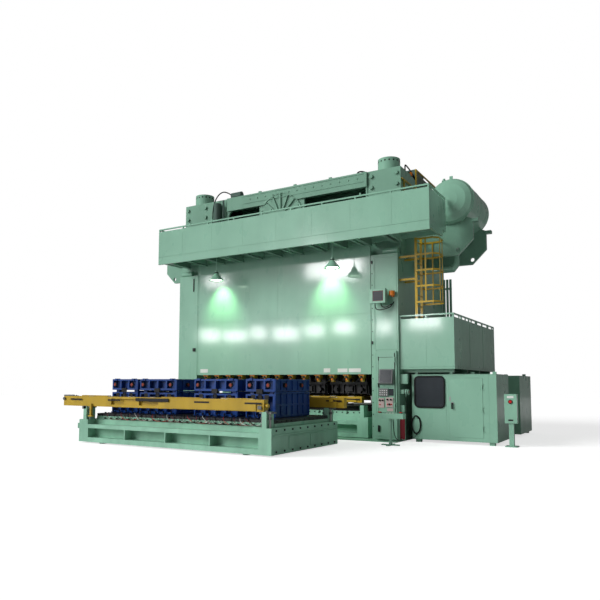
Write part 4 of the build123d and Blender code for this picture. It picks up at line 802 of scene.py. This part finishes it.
piece("crown_top_fittings", "frame", "orange", [
    block((3.86, 3.96), (0.84, 0.94), (7.912, 8.0)), bar((3.9, 1.55, 8.0), (3.9, 1.55, 8.12), 0.05)])

# %% [markdown]
# The receiver is rolled plate, so a weld ring shows at each end of its shell and one in the middle,
# with two nozzles on top. The mezzanine's guard has clips down its side and joints in its sheets.

# %% Receiver and mezzanine
tank_x, tank_z = 5.37, 6.73
welds = [bar((tank_x, y - 0.018, tank_z), (tank_x, y + 0.018, tank_z), 0.646, 96) for y in (0.65, 1.52, 2.4)]
welds += [bar((5.10, 0.95, 7.30), (5.10, 0.95, 7.52), 0.035),
          bar((5.10, 0.95, 7.44), (5.10, 0.95, 7.47), 0.065, 20),
          bar((5.37, 1.9, 7.36), (5.37, 1.9, 7.50), 0.045),
          bar((5.37, 1.9, 7.46), (5.37, 1.9, 7.49), 0.08, 20)]
piece("tank_welds", "frame", "green", welds)
clips = [block((5.54, 5.556), (y, y + 0.09), (3.40, 3.47)) for y in spaced(0.5, 4.5, 7)]
clips += [block((5.54, 5.544), (y - 0.004, y + 0.004), (2.08, 3.40)) for y in (1.7, 3.3)]
clips += [block((4.77, 4.778), (0.066, 0.07), (2.08, 3.40)),
          block((4.01, 5.54), (0.062, 0.07), (2.06, 2.075)),
          block((5.54, 5.55), (0.07, 4.94), (2.06, 2.075))]
piece("mezzanine_clips", "frame", "green", clips, bevel=0.002)

# %% [markdown]
# A cover plate with a row of bolts closes the front of the right upright. High up on it sits the
# display box, a dark glass in a green frame, with two leads that loop back into the upright.

# %% Upright and display
piece("upright_cover", "frame", "green", [
    block((3.27, 3.335), (-0.008, 0), (0.06, 5.24)), block((3.335, 3.97), (-0.008, 0), (2.56, 5.24)),
    block((3.27, 3.97), (-0.016, -0.008), (5.20, 5.24)),
    block((3.27, 3.31), (-0.016, -0.008), (2.60, 5.20))], bevel=0.002)
cover_bolts = [bar((3.235, -0.012, z), (3.235, 0, z), 0.014, 12) for z in spaced(0.4, 5.1, 15)]
cover_bolts += [block((3.215, 3.25), (-0.03, 0), (z, z + 0.09)) for z in (2.72, 5.05)]
piece("upright_cover_bolts", "frame", "dark_steel", cover_bolts, bevel=0.002)
piece("left_upright_box", "frame", "black", [
    block((-3.37, -3.27), (-0.04, 0), (2.68, 2.79)), block((-3.40, -3.36), (-0.02, 0), (4.75, 5.2))])
piece("display_bezel", "frame", "green", [
    block((3.29, 3.386), (-0.342, -0.33), (3.85, 4.26)), block((3.70, 3.76), (-0.342, -0.33), (3.85, 4.26)),
    block((3.386, 3.70), (-0.342, -0.33), (4.20, 4.26)), block((3.386, 3.70), (-0.342, -0.33), (3.85, 3.91))])
piece("display_screen", "frame", "dark_red", [block((3.386, 3.70), (-0.334, -0.33), (3.91, 4.20))], bevel=0)
piece("display_glass", "frame", "screen", [block((3.40, 3.686), (-0.337, -0.334), (3.925, 4.185))], bevel=0)
line_piece("display_lead", "frame", "rubber", [
    [(3.42, -0.25, 3.85), (3.42, -0.26, 3.72), (3.52, -0.24, 3.66), (3.70, -0.18, 3.69), (3.84, -0.10, 3.76),
     (3.88, -0.02, 3.88), (3.88, 0.0, 3.90)],
    [(3.60, -0.25, 3.85), (3.60, -0.25, 3.76), (3.70, -0.2, 3.73), (3.80, -0.1, 3.80), (3.82, 0.0, 3.85)]],
    0.014)

# %% [markdown]
# The control cabinet's door carries a tilted screen, a keypad and three pale switch panels, with small
# knobs and lamps and without any lettering. All of it rides on the door, so it swings open with it.

# %% Control cabinet
door_face = -0.074          # the Y of the cabinet door's front
screen_low, screen_high = (-0.192, 1.63), (-0.128, 1.98)
tilted = [(3.50, *screen_low), (3.84, *screen_low), (3.84, *screen_high), (3.50, *screen_high)]
piece("operator_screen", "cabinet_door", "screen", [plate(tilted, (0, -0.006, -0.001))], bevel=0)
keys = [bar((x, -0.116, z), (x, -0.104, z), 0.016, 12)
        for x in spaced(3.49, 3.68, 4) for z in (1.29, 1.35, 1.41)]
piece("keypad_keys", "cabinet_door", "white", keys, bevel=0.002)
piece("keypad_screen", "cabinet_door", "screen", [block((3.74, 3.87), (-0.09, door_face), (1.27, 1.46))],
      bevel=0.003)
piece("switch_panels", "cabinet_door", "pink", [
    block((3.43, 3.60), (-0.092, door_face), (0.93, 1.20)),
    block((3.65, 3.86), (-0.092, door_face), (0.95, 1.22)),
    block((3.68, 3.86), (-0.086, door_face), (0.835, 0.92))], bevel=0.003)
knobs = [bar((x, -0.118, z), (x, -0.092, z), 0.026)
         for x, z in ((3.475, 1.14), (3.555, 1.14), (3.70, 1.16), (3.80, 1.16), (3.755, 1.03))]
piece("switch_knobs", "cabinet_door", "black", knobs, bevel=0.003)
lamps = [bar((x, -0.108, z), (x, -0.092, z), 0.018, 12)
         for x, z in ((3.475, 1.02), (3.70, 1.03), (3.81, 1.03))]
piece("switch_lamps", "cabinet_door", "red", lamps, bevel=0.002)
piece("cabinet_handle", "cabinet_door", "black", [
    block((3.42, 3.445), (-0.11, door_face), (1.50, 1.62)),
    block((3.42, 3.445), (-0.085, door_face), (2.25, 2.36))])
piece("cabinet_switch", "frame", "black", [block((3.41, 3.47), (-0.105, -0.092), (0.26, 0.44))], bevel=0.002)
piece("cabinet_lines", "cabinet_door", "black", [block(x, (-0.077, door_face), z) for x, z in (
    ((3.425, 3.432), (0.82, 2.34)), ((3.425, 3.86), (2.335, 2.345)), ((3.90, 3.918), (0.82, 2.45)),
    ((3.45, 3.86), (1.50, 1.507)))], bevel=0)
piece("cabinet_frame", "frame", "green", [
    block((3.34, 3.96), (-0.068, -0.06), (2.46, 2.52)),
    block((3.345, 3.355), (-0.066, -0.06), (0.72, 2.46))], bevel=0.002)

# %% [markdown]
# On the upright's right side hang the pendant with its red button and black grip rings and two flat
# boxes, over the dark red base panel. The console has a collar round each palm button and three lamps.

# %% Pendant, side boxes and console
pendant_y, pendant_z = 0.11, 1.37
piece("pendant_button", "frame", "dull_red", [
    bar((4.249, pendant_y, pendant_z), (4.26, pendant_y, pendant_z), 0.03, 20)])
piece("pendant_rings", "frame", "black", [
    bar((x, pendant_y, pendant_z), (x + 0.03, pendant_y, pendant_z), 0.089, 32) for x in (4.13, 4.20)])
piece("side_box_covers", "frame", "green", [
    block((4.03, 4.2), (0.084, 0.09), (1.62, 1.85)), block((4.02, 4.12), (0.064, 0.07), (0.83, 0.99))])
piece("base_panel_face", "frame", "dark_red", [block((4.015, 4.16), (0.014, 0.02), (0.075, 0.645))])
console_y, console_top = -1.01, 0.83
collars = [bar((x, console_y, console_top), (x, console_y, 0.845), 0.058, 24) for x in (3.84, 4.42)]
piece("palm_collars", "frame", "dark_green", collars)
lamps = [bar((x, console_y, console_top), (x, console_y, 0.845), 0.022) for x in (4.05, 4.13, 4.21)]
piece("console_lamps", "frame", "white", lamps)

# %% [markdown]
# The feed housing's window sits in a black rubber gasket with round corners. The ring of the gasket is
# made of short bars between points, five to a corner.

# %% Window gasket
pane_left, pane_right, pane_foot, pane_head = 4.37, 5.19, 0.96, 1.80
corner = 0.11
centres = [(pane_right - corner, pane_head - corner), (pane_left + corner, pane_head - corner),
           (pane_left + corner, pane_foot + corner), (pane_right - corner, pane_foot + corner)]
ring = []
for quarter, (x, z) in enumerate(centres):
    for a in spaced(quarter * pi / 2, (quarter + 1) * pi / 2, 5):
        ring.append((x + corner * cos(a), 0.25, z + corner * sin(a)))
ring.append(ring[0])
piece("window_gasket", "frame", "black", [bar(a, b, 0.022, 10) for a, b in zip(ring, ring[1:])], bevel=0)

# %% [markdown]
# The housing's door has a latch and two small blank plates, which swing with it. Thin strips mark the
# edges of the housing's sheets, and a lifting lug stands on each corner of the roof. The button post
# beside it has a blank plate and a dark seat for its button.

# %% Feed housing and button post
housing_face = 0.27         # the Y of the housing's front
piece("housing_plates", "housing_door", "white", [
    block((5.64, 5.71), (0.266, housing_face), (1.31, 1.38)),
    block((5.64, 5.72), (0.266, housing_face), (0.555, 0.62))], bevel=0.001)
piece("latch_plate", "housing_door", "steel", [
    bar((5.4, 0.262, 1.08), (5.4, housing_face, 1.08), 0.04, 20),
    block((5.32, 5.36), (0.262, housing_face), (1.14, 1.26))], bevel=0.002)
edges = [block((4.28, 6.55), (0.262, housing_face), (1.845, 1.863)),
         block((6.35, 6.358), (0.266, housing_face), (0.1, 1.84)),
         block((4.28, 6.55), (0.264, housing_face), (0.08, 0.10)),
         block((5.235, 5.241), (0.266, housing_face), (0.1, 1.84))]
edges += [block((x - 0.05, x + 0.05), (y - 0.02, y + 0.02), (1.863, 1.93))
          for x in (5.85, 6.42) for y in (0.7, 5.1)]
piece("housing_trim", "frame", "green", edges, bevel=0.002)
piece("post_plate", "frame", "white", [block((6.80, 6.96), (0.276, 0.28), (1.24, 1.30))], bevel=0.001)
piece("post_seat", "frame", "dark_steel", [
    bar((6.88, 0.262, 1.15), (6.88, 0.28, 1.15), 0.055, 24),
    block((6.82, 6.94), (0.276, 0.282), (0.66, 0.70))], bevel=0.002)

# %% [markdown]
# The work lamps hold a bright disc in their shades, and a short neck over them.

# %% Work lamps
lamp_y = -0.75
discs, necks = [], []
for x in (-1.83, 2.33):
    discs.append(bar((x, lamp_y, 4.91), (x, lamp_y, 4.93), 0.17, 32, tip=0.15))
    necks.append(bar((x, lamp_y, 5.125), (x, lamp_y, 5.20), 0.072, 24, tip=0.045))
piece("lit_discs", "frame", "lamp", discs, bevel=0)
piece("lamp_necks", "frame", "dark_steel", necks)
